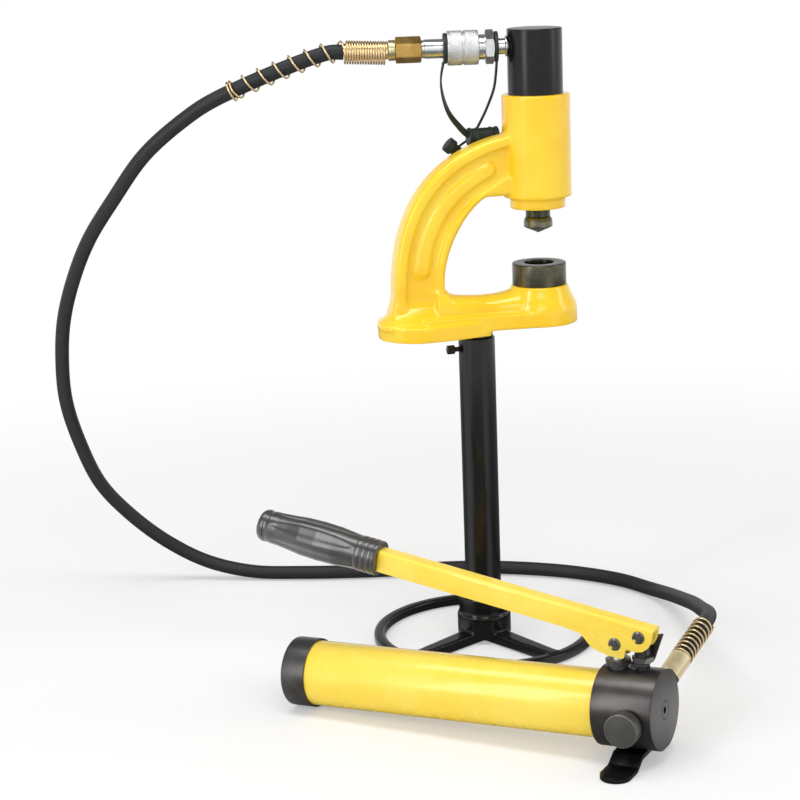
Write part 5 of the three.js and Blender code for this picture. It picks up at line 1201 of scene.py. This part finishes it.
PLUG_STRAP_SHARES = (
    (0.015, 0.03, -0.155), (0.02, 0.1, -0.33), (0.01, 0.16, -0.5), (-0.04, 0.25, -0.7),
    (-0.09, 0.37, -0.88), (-0.2, 0.41, -1.07), (-0.38, 0.35, -1.18), (-0.48, 0.22, -1.2),
)
PLUG_PLACE_SHARES = (-0.485, 0.215, -1.2)


def hung(ring_start, shares):
    """A place given in shares of the straps' drop from the middle of a ring."""
    return along(PORT, ring_start + STRAP_RING_WIDTH / 2) + Vector(shares) * STRAP_DROP


def rectangle(wide, deep):
    """The corners of a rectangle about the middle, from its half width and half depth."""
    return [(-wide, -deep), (wide, -deep), (wide, deep), (-wide, deep)]


def strap(ring_start, shares, widths, twist):
    """A strap that changes its width and turns its flat side along its length."""
    line = smooth_line([hung(ring_start, share) for share in shares], STRAP_THICKNESS)
    length = length_of(line)

    def section(distance):
        share = distance / length
        half = (widths[0] + (widths[1] - widths[0]) * share) / 2
        flat = rounded(rectangle(half, STRAP_THICKNESS / 2), RUBBER_EDGE / 2, closed=True)
        c, s = polar(1, twist * share)
        return [(a * c - b * s, a * s + b * c) for a, b in flat]

    return swept(line, section, Vector((0, 1, 0)))


def strap_ring(inner, start):
    return placed(turned(RUBBER_EDGE, inner + GAP, start, (STRAP_RING, start + STRAP_RING_WIDTH)), PORT)


def dust_cap():
    half, bead, mouth = CAP_LENGTH / 2, RUBBER_EDGE, CAP_RADIUS - CAP_WALL
    high, low, outline = CAP_RADIUS, CAP_RADIUS - bead, [(0, -half)]
    for share in BEAD_SHARES:
        at = share * half
        outline += [(low, at - 2 * bead), (high, at - bead), (high, at + bead), (low, at + 2 * bead)]
    return lathe(rounded([*outline, (mouth, half), (mouth, 0), (0, 0)], bead / 2))


def dust_plug():
    half, flange = PLUG_LENGTH / 2, PLUG_LENGTH / 5
    return turned(RUBBER_EDGE, 0, -half, (PLUG_RADIUS - CAP_WALL, half - 2 * flange), (PLUG_RADIUS, half))


strap_rubber = mottled(
    "strap_rubber", paint(27, 34, 31), paint(40, 50, 46),
    (0.01, 3), (0.38, 0.2, 0.002), (0.00008, 0.5, 0.0008, 3), specular_ior_level=0.4
)
cap_axes = shift(*hung(collar_end + GAP, CAP_PLACE_SHARES)) @ ALONG_X
cap = together(
    strap_ring(NIPPLE_RADIUS, collar_end + GAP),
    strap(collar_end + GAP, CAP_STRAP_SHARES, (STRAP_WIDTH * 0.7, STRAP_WIDTH), STRAP_TWIST),
    placed(dust_cap(), cap_axes),
)
piece("dust_cap_moulded", cap, Matrix(), "strap_rubber", strap_rubber)
plug_ring = adapter_shoulder - STRAP_RING_WIDTH - GAP
plug_axes = shift(*hung(plug_ring, PLUG_PLACE_SHARES)) @ turn(PLUG_LEAN, "Y")
plug = together(
    strap_ring(ADAPTER_BODY_RADIUS, plug_ring),
    strap(plug_ring, PLUG_STRAP_SHARES, (STRAP_WIDTH / 2, STRAP_THICKNESS), 0),
    placed(dust_plug(), plug_axes),
)
piece("dust_plug_moulded", plug, Matrix(), "strap_rubber", strap_rubber)

# Reservoir
# A steel tube in pale yellow enamel between a turned end cap and the pump's head, both gunmetal grey.
END_CAP_LENGTH = 0.026
END_CAP_WALL = 0.006
END_CAP_EDGE = 0.0028
TUBE_RADIUS = 0.032
TUBE_WALL = 0.0025
HEAD_LENGTH = 0.059
HEAD_SPIGOT = 0.015
HEAD_EDGE = 0.0011
RUB_HIGHLIGHT_WIDTH = 0.0004
head_start = PUMP_LENGTH - HEAD_LENGTH
tube_bore = TUBE_RADIUS - TUBE_WALL


def worn(name, dark, bright, roughness, edges):
    """Satin grey metal, rubbed bright along its edges, which are distances along a turned outline. The pale
    band there is partly rubbing and partly a painted highlight.
    """
    finish = Finish(name, metallic=0.8)
    where = finish.place()
    blotches = finish.noise(where, 0.02, 4)
    grain = finish.noise(where, 0.0007, 3)
    along_outline = finish.node("SeparateXYZ", {}, {0: finish.place("UV")}, output="Y")
    rub_and_highlight = 0.0
    for edge in edges:
        away = finish.node("Math", {"operation": "ABSOLUTE"}, {0: along_outline - edge})
        rub_and_highlight = (1 - (away + grain * RUB_HIGHLIGHT_WIDTH).rise(RUB_HIGHLIGHT_WIDTH * 0.6, RUB_HIGHLIGHT_WIDTH * 1.5)) + rub_and_highlight
    base = finish.mix((blotches * 0.7 + grain * 0.3).rise(0.3, 0.7), dark, bright)
    # The pale edge colour is partly rubbed metal and partly a painted highlight.
    finish.set("Base Color", finish.mix(rub_and_highlight, base, paint(150, 150, 148)) if edges else base)
    finish.set("Roughness", roughness + blotches * 0.14)
    finish.bump(grain, 0.00005, 0.6)
    return finish


def end_cap():
    lip = TUBE_RADIUS + GAP
    outline = [(0, 0), (END_CAP_RADIUS, 0, END_CAP_EDGE), (END_CAP_RADIUS, END_CAP_LENGTH, METAL_EDGE),
               (lip, END_CAP_LENGTH, METAL_EDGE / 2), (lip, END_CAP_WALL, 0), (0, END_CAP_WALL)]
    return lathe(rounded(outline, METAL_EDGE, 6), FINE_SIDES)


def reservoir_tube():
    low, wall = END_CAP_WALL + GAP, (TUBE_RADIUS, head_start - GAP)
    return turned(METAL_EDGE, tube_bore, low, wall, sides=FINE_SIDES)


pump_paint = enamel("pump_enamel", paint(254, 219, 74), paint(255, 227, 94), 0.3, 0.22)
gunmetal = worn("gunmetal", paint(74, 72, 71), paint(92, 90, 88), 0.25, [])
# The end cap takes a lighter copy of the gunmetal, painted light, and its rim band is partly rubbed metal and
# partly a painted highlight.
cap_rim = END_CAP_RADIUS - END_CAP_EDGE / 2
cap_gunmetal_painted_light = worn("cap_gunmetal_painted_light", paint(82, 81, 80), paint(102, 101, 99), 0.28, [cap_rim])
piece("end_cap_turned", end_cap(), PUMP @ ALONG_X, "gunmetal", cap_gunmetal_painted_light, "base", "reservoir_end_cap")
piece("reservoir_tube_painted", reservoir_tube(), PUMP @ ALONG_X, "pump_enamel", pump_paint)

# Pump head
# The head is turned from steel bar, milled flat below for the foot, and drilled for the plunger, the
# fulcrum stud, the release valve, the outlet and a socketed plug in its end face.
PLUNGER_X = 0.3458
PLUNGER_RADIUS = 0.006
PLUNGER_BOTTOM = -0.013
PLUNGER_FLAT = 0.005
EYE_RADIUS = 0.007
PIN_SLOT = 0.002
BALL_RADIUS = 0.0035
GLAND_BOTTOM = 0.041
GLAND_HEIGHT = 0.005
GLAND_RADIUS = 0.013
GLAND_SKIRT = 0.009
GLAND_DEPTH = 0.014
PACKING_HEIGHT = 0.005
BLADDER_NECK = 0.0075
FULCRUM_STUD = 0.0062
FULCRUM_DEPTH = 0.02
KNOB_X = 0.366
KNOB_Z = -0.004
KNOB_RADIUS = 0.0162
KNOB_START = 0.0415
KNOB_LENGTH = 0.012
NEEDLE_RADIUS = 0.005
NEEDLE_TIP = 0.012
HEAD_PLUG_RADIUS = 0.0087
HEAD_PLUG_LENGTH = 0.011
HEAD_PLUG_SOCKET = 0.0036
OUTLET_STANDOFF = 0.0015
OUTLET_DEPTH = 0.014
STRIP_X = 0.362
STRIP_WIDTH = 0.029
STRIP_THICKNESS = 0.004
STRIP_RISE = 0.008
STRIP_BACK = 0.018
STRIP_REACH = 0.07
STRIP_BEND_START = 0.025
STRIP_BEND_END = 0.038
STRIP_BEND = 0.006
STRIP_EDGE = 0.0011
STRIP_SCREW = 0.0025
SCREW_PLACES = (-0.007, 0.007)
PIN_OFFSET = 0.0006
PIN_DROP = 0.0083
PIN_RADIUS = 0.003
HEAD_SIDES = 192
PLAN_STEPS = 48
pin_z = FULCRUM_Z - PIN_DROP
packing_bottom = GLAND_BOTTOM - GLAND_DEPTH - GAP - PACKING_HEIGHT
PLUNGER = PUMP @ shift(PLUNGER_X)
FULCRUM = PUMP @ shift(FULCRUM_X)


def pump_head():
    """The head in the pump's own axes."""
    spigot, out = head_start - HEAD_SPIGOT, 2 * HEAD_RADIUS
    neck = (tube_bore - GAP, head_start)
    body = turned(HEAD_EDGE, 0, spigot, neck, (HEAD_RADIUS, PUMP_LENGTH), sides=HEAD_SIDES)
    ball, ball_top = BALL_RADIUS + GAP, PLUNGER_BOTTOM - GAP
    bore, skirt = (PLUNGER_RADIUS + GAP, packing_bottom - GAP), (GLAND_SKIRT + GAP, out)
    well = lathe(stepped(0, ball_top - 2 * BALL_RADIUS - GAP, (ball, ball_top), bore, skirt))
    to_pump = PUMP.inverted()
    plug_floor = PUMP_LENGTH - HEAD_PLUG_LENGTH - GAP
    cuts = [
        placed(well, shift(PLUNGER_X)),
        placed(hole(FULCRUM_STUD + GAP, FULCRUM_DEPTH, out), shift(FULCRUM_X)),
        placed(hole(NEEDLE_RADIUS + GAP, -out, -NEEDLE_TIP), shift(KNOB_X, 0, KNOB_Z) @ ALONG_Y),
        placed(hole(PORT_RADIUS, -OUTLET_DEPTH, out), to_pump @ OUTLET),
        placed(hole(HEAD_PLUG_RADIUS + GAP, plug_floor, 2 * PUMP_LENGTH), ALONG_X),
        placed(hole(BLADDER_NECK + GAP, 0, spigot + BLADDER_NECK + GAP), ALONG_X),
    ]
    top, wide = STRIP_RISE + STRIP_THICKNESS + GAP, 2 * HEAD_LENGTH
    cuts.append(placed(prism(rectangle(wide, wide), -wide, top), to_pump @ LEVEL @ shift(STRIP_X)))
    for across in SCREW_PLACES:
        screw_hole = hole(STRIP_SCREW + GAP, STRIP_RISE, 2 * top, SCREW_SIDES)
        cuts.append(placed(screw_hole, to_pump @ LEVEL @ shift(STRIP_X + across)))
    return combined("DIFFERENCE", placed(body, ALONG_X), *cuts)


def head_plug():
    start, middle = PUMP_LENGTH - HEAD_PLUG_LENGTH, PUMP_LENGTH - HEAD_PLUG_LENGTH / 2
    socket = prism(disc(HEAD_PLUG_SOCKET, HEX_SIDES), middle, 2 * PUMP_LENGTH)
    return combined("DIFFERENCE", turned(METAL_EDGE, 0, start, (HEAD_PLUG_RADIUS, PUMP_LENGTH)), socket)


def eye_outline(radius, low, centre):
    """A flat bar's side view: straight sides and a round top."""
    return [(radius, low), *arc(0, centre, radius, 0, 180), (-radius, low)]


def plunger():
    neck = GLAND_BOTTOM + GLAND_HEIGHT + 2 * GAP
    stem = turned(METAL_EDGE, 0, PLUNGER_BOTTOM, (PLUNGER_RADIUS, neck + GAP))
    blade = eased(upright(eye_outline(EYE_RADIUS, neck, pin_z), 2 * PLUNGER_FLAT), METAL_EDGE)
    round_end = PIN_RADIUS + 2 * GAP
    slot = [*arc(PIN_SLOT, pin_z, round_end, -90, 90), *arc(-PIN_SLOT, pin_z, round_end, 90, 270)]
    return combined("DIFFERENCE", combined("UNION", stem, blade), upright(slot, 4 * PLUNGER_FLAT))


def gland_nut():
    top = GLAND_BOTTOM + GLAND_HEIGHT
    skirt = hole(GLAND_SKIRT, GLAND_BOTTOM - GLAND_DEPTH, GLAND_BOTTOM + GAP)
    body = combined("UNION", hexagon(GLAND_RADIUS, GLAND_BOTTOM, top), skirt)
    return combined("DIFFERENCE", body, hole(PLUNGER_RADIUS + GAP, 0, 2 * top))


def foot_strip():
    """A strip bent down to the bench in front, with a round end and broken edges."""
    thick, rise = STRIP_THICKNESS, STRIP_RISE
    side = [(-STRIP_REACH, 0, 0), (-STRIP_BEND_END, 0), (-STRIP_BEND_START, rise), (STRIP_BACK, rise, 0),
            (STRIP_BACK, rise + thick, 0), (-STRIP_BEND_START, rise + thick), (-STRIP_BEND_END, thick),
            (-STRIP_REACH, thick, 0)]
    half = STRIP_WIDTH / 2
    bent = upright(rounded(side, STRIP_BEND, 6, closed=True), 2 * STRIP_WIDTH)
    plan = [*arc(0, half - STRIP_REACH, half, 180, 360, PLAN_STEPS), (half, STRIP_BACK), (-half, STRIP_BACK)]
    above = 2 * (rise + thick)
    body = combined("INTERSECT", placed(bent, turn(QUARTER, "Z")), prism(plan, -thick, above))
    holes = [placed(hole(STRIP_SCREW + GAP, 0, above, SCREW_SIDES), shift(across)) for across in SCREW_PLACES]
    return eased(combined("DIFFERENCE", body, *holes), STRIP_EDGE)


def release_knob():
    start, end = KNOB_START, KNOB_START + KNOB_LENGTH
    socket, floor = NEEDLE_RADIUS + GAP, KNOB_START + KNOB_LENGTH / 2
    outline = [(0, floor), (socket, floor), (socket, start), (KNOB_RADIUS, start, METAL_EDGE),
               (KNOB_RADIUS, end, HEAD_EDGE), (0, end)]
    return lathe(rounded(outline, GAP), ROUND_SIDES)


def release_needle():
    end = KNOB_START + KNOB_LENGTH / 2 - GAP
    tip, shoulder = (0, NEEDLE_TIP + GAP), (NEEDLE_RADIUS, NEEDLE_TIP + NEEDLE_RADIUS)
    return lathe([tip, shoulder, (NEEDLE_RADIUS, end), (0, end)], PIN_SIDES)


KNOB = PUMP @ shift(KNOB_X, 0, KNOB_Z) @ turn(QUARTER, "X")
# The knob's rim band is partly rubbed metal and partly a painted highlight.
knob_rim = (KNOB_RADIUS - NEEDLE_RADIUS) + KNOB_LENGTH * 1.5 + NEEDLE_RADIUS
knob_gunmetal = worn("knob_gunmetal", paint(100, 99, 96), paint(118, 117, 114), 0.34, [knob_rim])
black_steel = machined("black_steel", paint(64, 62, 61), paint(90, 88, 86), 0.26, metallic=0.8)
nut_steel = machined("nut_steel", paint(96, 95, 94), paint(130, 128, 126), 0.24, metallic=0.8)
piece("pump_head_drilled", pump_head(), PUMP, "gunmetal", gunmetal)
piece("head_plug_socketed", head_plug(), PUMP @ ALONG_X, "gunmetal", black_steel)
piece("plunger_slotted", plunger(), PLUNGER, "tool_steel", zinc, "plunger")
piece("gland_nut_hexed", gland_nut(), PLUNGER, "gunmetal", nut_steel)
piece("release_knob_turned", release_knob(), KNOB, "gunmetal", knob_gunmetal, "release")
piece("release_needle_turned", release_needle(), KNOB, "tool_steel", tool_steel, "release")
piece("foot_strip_bent", foot_strip(), LEVEL @ shift(STRIP_X), "black_enamel", black_paint)

# Fulcrum
# A link screwed into the head carries the lever's front pin. A nut locks it, over a folded plate whose wing
# stands behind the lever.
FULCRUM_NUT = 0.0108
FULCRUM_NUT_HEIGHT = 0.005
LINK_EYE = 0.0062
PLATE_BOTTOM = 0.0425
PLATE_THICKNESS = 0.0027
PLATE_SHARES = ((-0.9, 0), (0.56, 0), (1.48, 0.94), (0.83, 0.88), (-0.9, 0.6))
LEVER_WIDTH = 0.018
PIN_HEAD = 0.0056
PIN_HEAD_THICKNESS = 0.0024
nut_bottom = PLATE_BOTTOM + PLATE_THICKNESS + GAP
nut_top = nut_bottom + FULCRUM_NUT_HEIGHT


def fulcrum_link():
    stud = turned(GAP, 0, FULCRUM_DEPTH + GAP, (FULCRUM_STUD, nut_top + 4 * GAP))
    block = eased(upright(eye_outline(LINK_EYE, nut_top + GAP, FULCRUM_Z), 2 * PLUNGER_FLAT), METAL_EDGE)
    pin_hole = hole(PIN_RADIUS + 2 * GAP, -2 * PLUNGER_FLAT, 2 * PLUNGER_FLAT, PIN_SIDES)
    pin_hole = placed(pin_hole, shift(z=FULCRUM_Z) @ ALONG_Y)
    return combined("DIFFERENCE", combined("UNION", stud, block), pin_hole)


def stud_hole():
    return hole(FULCRUM_STUD + GAP, 0, 2 * nut_top)


def fulcrum_nut():
    return combined("DIFFERENCE", hexagon(FULCRUM_NUT, nut_bottom, nut_top), stud_hole())


def fulcrum_plate():
    wing_y = LEVER_WIDTH / 2 + PIN_HEAD_THICKNESS + 2 * GAP
    rise = FULCRUM_Z - PLATE_BOTTOM
    outline = [(across * FULCRUM_NUT, PLATE_BOTTOM + up * rise) for across, up in PLATE_SHARES]
    far = wing_y + PLATE_THICKNESS / 2
    wing = upright(rounded(outline, 2 * METAL_EDGE, closed=True), PLATE_THICKNESS, far)
    left, right, near, corner = outline[0][0], outline[1][0], -FULCRUM_NUT, FULCRUM_NUT / 2
    plan = [(left, near, corner), (right, near, corner), (right, far), (left, far)]
    tab = prism(rounded(plan, 0, 6, closed=True), PLATE_BOTTOM, PLATE_BOTTOM + PLATE_THICKNESS)
    return eased(combined("DIFFERENCE", combined("UNION", tab, wing), stud_hole()), GAP)


piece("fulcrum_link_drilled", fulcrum_link(), FULCRUM, "tool_steel", black_steel)
piece("fulcrum_nut_hexed", fulcrum_nut(), FULCRUM, "tool_steel", nut_steel)
piece("fulcrum_plate_folded", fulcrum_plate(), FULCRUM, "tool_steel", black_steel)

# Lever
# A channel pressed from 3 mm steel in pale yellow enamel, with ears for the two pins and a bar for the
# grip. Each pin has a round head behind and an open spring clip in front.
LEVER_SHEET = 0.003
LEVER_TOP = 0.0106
LEVER_LENGTH = 0.27
LEVER_HEEL = 0.0125
LEVER_DEPTH = 0.021
LEVER_BEND = 0.0042
TONGUE_LENGTH = 0.096
TONGUE_SIZE = 0.013
CLIP_RADIUS = 0.006
CLIP_THICKNESS = 0.0012
CLIP_EDGE = 0.0004
CLIP_TURN = math.radians(40)
EAR_SHARES = (
    (1, 0.18), (0.98, -0.08), (0.83, -0.37), (0.46, -0.6), (-0.04, -0.69), (-0.57, -0.7), (-0.86, -0.72),
    (-0.85, -1.14), (-1.14, -1.2), (-2.1, -1.21), (-2.92, -1.15), (-3.42, -1.08), (-4.34, -0.63),
    (-4.58, -0.56), (-6.1, -0.5),
)
Z_TO_X = Matrix(((0, 0, 1, 0), (1, 0, 0, 0), (0, 1, 0, 0), (0, 0, 0, 1)))
lever_axis = LEVER_TOP - LEVER_DEPTH / 2
plunger_pin = LEVER.inverted() @ PUMP @ Vector((PLUNGER_X + PIN_OFFSET, 0, pin_z))
PIN_PLACES = {"fulcrum": shift(), "plunger": shift(plunger_pin.x, 0, plunger_pin.z)}


def handle_lever():
    front, bottom = -LEVER_LENGTH, LEVER_TOP - LEVER_DEPTH
    outline = [(front, bottom, 0), (front, LEVER_TOP, 0), (LEVER_HEEL, LEVER_TOP, METAL_EDGE)]
    outline += [(across * LEVER_HEEL, down * LEVER_DEPTH) for across, down in EAR_SHARES]
    sides = upright(rounded(outline, LEVER_HEEL / 2, 5, closed=True), LEVER_WIDTH)
    half, deep = LEVER_WIDTH / 2, 2 * LEVER_DEPTH
    inner, roof = half - LEVER_SHEET, LEVER_TOP - LEVER_SHEET
    fold = LEVER_BEND - LEVER_SHEET
    section = [(half, -deep, 0), (half, LEVER_TOP), (-half, LEVER_TOP), (-half, -deep, 0), (-inner, -deep, 0),
               (-inner, roof, fold), (inner, roof, fold), (inner, -deep, 0)]
    channel = prism(rounded(section, LEVER_BEND, 8, closed=True), 2 * front, LEVER_LENGTH)
    body = eased(combined("INTERSECT", placed(channel, Z_TO_X), sides), METAL_EDGE)
    bar = rounded(rectangle(TONGUE_SIZE / 2, TONGUE_SIZE / 2), METAL_EDGE, closed=True)
    tongue = placed(prism(bar, -TONGUE_LENGTH, LEVER_SHEET), shift(front, 0, lever_axis) @ ALONG_X)
    pin_hole = (PIN_RADIUS + GAP, -LEVER_WIDTH, LEVER_WIDTH, PIN_SIDES)
    holes = [placed(hole(*pin_hole), place @ ALONG_Y) for place in PIN_PLACES.values()]
    return combined("DIFFERENCE", combined("UNION", body, tongue), *holes)


def lever_pin():
    face = LEVER_WIDTH / 2 + GAP
    tip, back = -face - CLIP_THICKNESS - METAL_EDGE, face + PIN_HEAD_THICKNESS
    outline = [(0, tip), (PIN_RADIUS, tip), (PIN_RADIUS, face), (PIN_HEAD, face),
               (PIN_HEAD, back, 2 * METAL_EDGE), (0, back)]
    return placed(lathe(rounded(outline, GAP), HOLE_SIDES), ALONG_Y)


def pin_clip():
    """A domed round clip with its mouth at the lower left."""
    low = -LEVER_WIDTH / 2 - GAP - CLIP_THICKNESS
    inner, top = PIN_RADIUS + GAP, low + CLIP_THICKNESS
    edge = [(CLIP_RADIUS * 0.7, low), (CLIP_RADIUS, top - CLIP_EDGE), (CLIP_RADIUS, top)]
    outline = rounded([(inner, low), *edge, (inner, top)], CLIP_EDGE, closed=True)
    body = placed(lathe(outline, HOLE_SIDES), ALONG_Y)
    half, deep = PIN_RADIUS / 2, -2 * CLIP_RADIUS
    mouth = upright([(-half, deep), (half, deep), (half, 0), (-half, 0)], 4 * LEVER_WIDTH)
    return combined("DIFFERENCE", body, placed(mouth, turn(CLIP_TURN, "Y")))


piece("handle_lever_pressed", handle_lever(), LEVER, "pump_enamel", pump_paint, "handle")
for name, place in PIN_PLACES.items():
    piece(f"{name}_pin_turned", lever_pin(), LEVER @ place, "tool_steel", nut_steel, "handle")
    piece(f"{name}_clip_stamped", pin_clip(), LEVER @ place, "tool_steel", nut_steel, "handle")

# Grip
# Moulded grey vinyl over the lever's bar. Long flutes run along its swell, with a collar at the outer end
# and four ribs next to the lever.
GRIP_LENGTH = 0.132
GRIP_RADIUS = 0.0195
GRIP_BORE = 0.0098
GRIP_FLUTES = 6
GRIP_FLUTE_DEPTH = 0.0016
GRIP_STEP = 0.0015
FLUTE_START_SHARE = 0.12
FLUTE_END_SHARE = 0.8
FLUTE_SIDES = 40
GRIP_SHARES = (
    (0, 0.7), (0.012, 0.78), (0.03, 0.82), (0.05, 0.82), (0.058, 0.79), (0.08, 0.79), (0.09, 0.82),
    (0.16, 0.83), (0.24, 0.88), (0.36, 0.97), (0.5, 1), (0.64, 0.97), (0.76, 0.89), (0.83, 0.86),
    (0.84, 0.89), (0.87, 0.89), (0.875, 0.86), (0.885, 0.86), (0.89, 0.89), (0.915, 0.89), (0.92, 0.86),
    (0.93, 0.86), (0.935, 0.89), (0.96, 0.89), (0.965, 0.86), (0.975, 0.86), (0.98, 0.88), (0.995, 0.87),
    (1, 0.8),
)


def grip():
    corners = [(across * GRIP_RADIUS, out * GRIP_LENGTH) for out, across in GRIP_SHARES]
    line = [Vector(point) for point in rounded([(0, 0), *corners], GAP * 3, 3)]
    outline = []
    for a, b in zip(line, line[1:]):
        rows = max(1, round((b - a).length / GRIP_STEP))
        outline += [tuple(a.lerp(b, k / rows)) for k in range(rows)]
    blind = GRIP_LENGTH - TONGUE_LENGTH - METAL_EDGE
    outline += [tuple(line[-1]), (GRIP_BORE, GRIP_LENGTH), (GRIP_BORE, blind), (0, blind)]

    def relief(angle, height, radius):
        share = (height / GRIP_LENGTH - FLUTE_START_SHARE) / (FLUTE_END_SHARE - FLUTE_START_SHARE)
        if not 0 < share < 1 or radius < 1.1 * GRIP_BORE:
            return 0
        middle = math.sin(math.pi * share)
        across = (0.5 + 0.5 * math.cos(GRIP_FLUTES * angle)) ** (1.2 / middle)
        return -GRIP_FLUTE_DEPTH * across * middle**0.5

    return lathe(outline, FLUTE_SIDES * GRIP_FLUTES, relief)


vinyl = mottled(
    "grip_vinyl", paint(44, 43, 43), paint(60, 59, 58),
    (0.02, 3), (0.3, 0.14, 0.003), (0.00006, 0.4, 0.0009, 2),
    specular_ior_level=0.7, coat_weight=1.0, coat_roughness=0.2
)
grip_axes = LEVER @ shift(-LEVER_LENGTH - GAP - GRIP_LENGTH, 0, lever_axis) @ ALONG_X
piece("grip_moulded", grip(), grip_axes, "grip_rubber", vinyl, "handle", "handle_grip")

# Pump outlet
# A hexagon adapter screwed into the far side of the head, and the hose's brass ferrule.
OUTLET_HEX = 0.0125
OUTLET_HEX_LENGTH = 0.0075
OUTLET_FERRULE_RADIUS = 0.0107
outlet_nut_end = OUTLET_STANDOFF + OUTLET_HEX_LENGTH
outlet_tail_end = OUTLET_FERRULE_END - OUTLET_HEX_LENGTH


def outlet_adapter():
    stub = hole(PORT_RADIUS - GAP, GAP - OUTLET_DEPTH, outlet_nut_end - GAP)
    tail = hole(TAIL_RADIUS, outlet_nut_end - METAL_EDGE, outlet_tail_end)
    return combined("UNION", hexagon(OUTLET_HEX, OUTLET_STANDOFF, outlet_nut_end), stub, tail)


outlet_ferrule = ferrule(OUTLET_FERRULE_RADIUS, outlet_nut_end + GAP, OUTLET_FERRULE_END, outlet_tail_end)
piece("outlet_adapter_hexed", outlet_adapter(), OUTLET, "gunmetal", black_steel)
# A paler copy of the brass, painted light, for the ferrule at the pump end; the same ferrule at the punch end
# is plain brass.
light_painted_brass = machined("light_painted_brass", paint(236, 212, 158), paint(250, 236, 200), 0.36, 0.0006, metallic=0.7)
piece("ferrule_pump_end_turned", outlet_ferrule, OUTLET, "brass", light_painted_brass)

# Inner pieces
# What the stand and pump hide keeps its plain shape and takes a finish: seals and bladder in rubber, the
# guide in bronze, the screws, piston and ball in steel.
bronze = machined("bearing_bronze", paint(150, 104, 58), paint(186, 138, 84))
for finish, names in (
    (strap_rubber, ("rod_wiper", "piston_seal", "reservoir_bladder", "gland_packing")),
    (bronze, ("guide_bush",)),
    (tool_steel, ("piston", "punch_set_screw", "foot_screw_inner", "foot_screw_outer")),
    (zinc, ("intake_ball",)),
):
    for name in names:
        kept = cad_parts[name]
        kept.data.materials.clear()
        kept.data.materials.append(finish.material)

# Light
# Plain soft studio light: a pale room, a wide soft box overhead, one on each side and a weak one in front.
ROOM_LEVEL = 0.5
WHITE = (1, 1, 1, 1)
ROOM_STOPS = [(0.0, WHITE), (0.1, WHITE), (0.35, (0.3, 0.3, 0.31, 1)), (1.0, (0.1, 0.1, 0.11, 1))]
OBJECT_MIDDLE = Vector((0, 0.1, 0.25))
SOFT_BOXES = (
    ((-0.3, -0.2, 2.4), (2.4, 0.7), 28),
    ((-2.3, -1.2, 1.3), (0.6, 2.0), 22),
    ((2.2, -0.8, 1.4), (0.5, 2.0), 9),
    ((-0.6, -2.9, 1.9), (1.6, 1.0), 12),
)


def room():
    world = bpy.data.worlds.new("room")
    scene.world = world
    graph = Graph(world)
    height = graph.node("SeparateXYZ", {}, {0: graph.node("TexCoord", output="Generated")}, output="Z")
    sky = graph.node("ValToRGB", {"stops": ROOM_STOPS}, {0: height})
    plain = (ROOM_LEVEL, ROOM_LEVEL, ROOM_LEVEL, 1)
    light = graph.node("Background", {}, {0: graph.mix(graph.seen(), plain, sky)})
    out = graph.tree.nodes.new("ShaderNodeOutputWorld")
    graph.feed(out.inputs[0], light)


room()
for place, size, watts in SOFT_BOXES:
    lamp = bpy.data.lights.new("soft_box", "AREA")
    lamp.shape = "RECTANGLE"
    lamp.size, lamp.size_y = size
    lamp.energy = watts
    box = bpy.data.objects.new("soft_box", lamp)
    box.location = place
    box.rotation_euler = (OBJECT_MIDDLE - Vector(place)).to_track_quat("-Z", "Y").to_euler()
    scene.collection.objects.link(box)

# Floor
# A plain pale floor. Away from the object it turns into the white of the background. Mirrored in the object,
# it is painted dark near the stand as a painted shade, except left and right of the camera, where painted
# reflections stand for two low side lamps.
FLOOR_SIZE = 80
FLOOR_NEAR = 0.5
FLOOR_FAR = 1.6
FLOOR_LIFT = 0.35
FLOOR_DROP = 0.0003
PALE = (0.88, 0.88, 0.88, 1)
DARK = (0.02, 0.02, 0.02, 1)
DIM = (0.15, 0.15, 0.15, 1)
SHADE_REACH = (1.7, 2.3)
REFLECTION_LOBE_STOPS = [
    (0.0, WHITE), (0.03, WHITE), (0.1, DIM), (0.27, DIM), (0.315, WHITE), (0.345, WHITE),
    (0.4, DIM), (0.9, DIM), (0.98, WHITE), (1.0, WHITE),
]


def floor():
    half = FLOOR_SIZE / 2
    corners = [(x, y, -FLOOR_DROP) for x, y in rectangle(half, half)]
    mesh = meshed(corners, [(0, 1, 2, 3)])
    finish = Finish("floor", roughness=0.9, specular_ior_level=0.1)
    away = finish.node("VectorMath", {"operation": "LENGTH"}, {0: finish.place()}, output="Value")
    from_post = {"Vector": finish.place(), "Location": (-POST_PLACE[0], -POST_PLACE[1], 0)}
    around = finish.node("Mapping", {}, from_post)
    around = finish.node("TexGradient", {"gradient_type": "RADIAL"}, {0: around}, output=1)
    reflection_lobes = finish.node("ValToRGB", {"stops": REFLECTION_LOBE_STOPS}, {0: around})
    # Painted reflection: for mirrored rays the floor's colour is dark near the stand, with bright patches at
    # the sides.
    shade = finish.node("LightPath", output="Is Glossy Ray") * (1 - reflection_lobes) * (1 - away.rise(*SHADE_REACH))
    finish.set("Base Color", finish.mix(shade, PALE, DARK))
    glow = finish.node("Emission", {}, {"Color": WHITE, "Strength": 1.0})
    share = (FLOOR_LIFT + away.rise(FLOOR_NEAR, FLOOR_FAR) * (1 - FLOOR_LIFT)) * finish.seen() * (1 - shade)
    mixed = finish.node("MixShader", {}, {0: share, 1: Number(finish, finish.shader.outputs[0]), 2: glow})
    finish.feed(finish.output.inputs[0], mixed)
    mesh.materials.append(finish.material)
    made = bpy.data.objects.new("floor", mesh)
    scene.collection.objects.link(made)


floor()
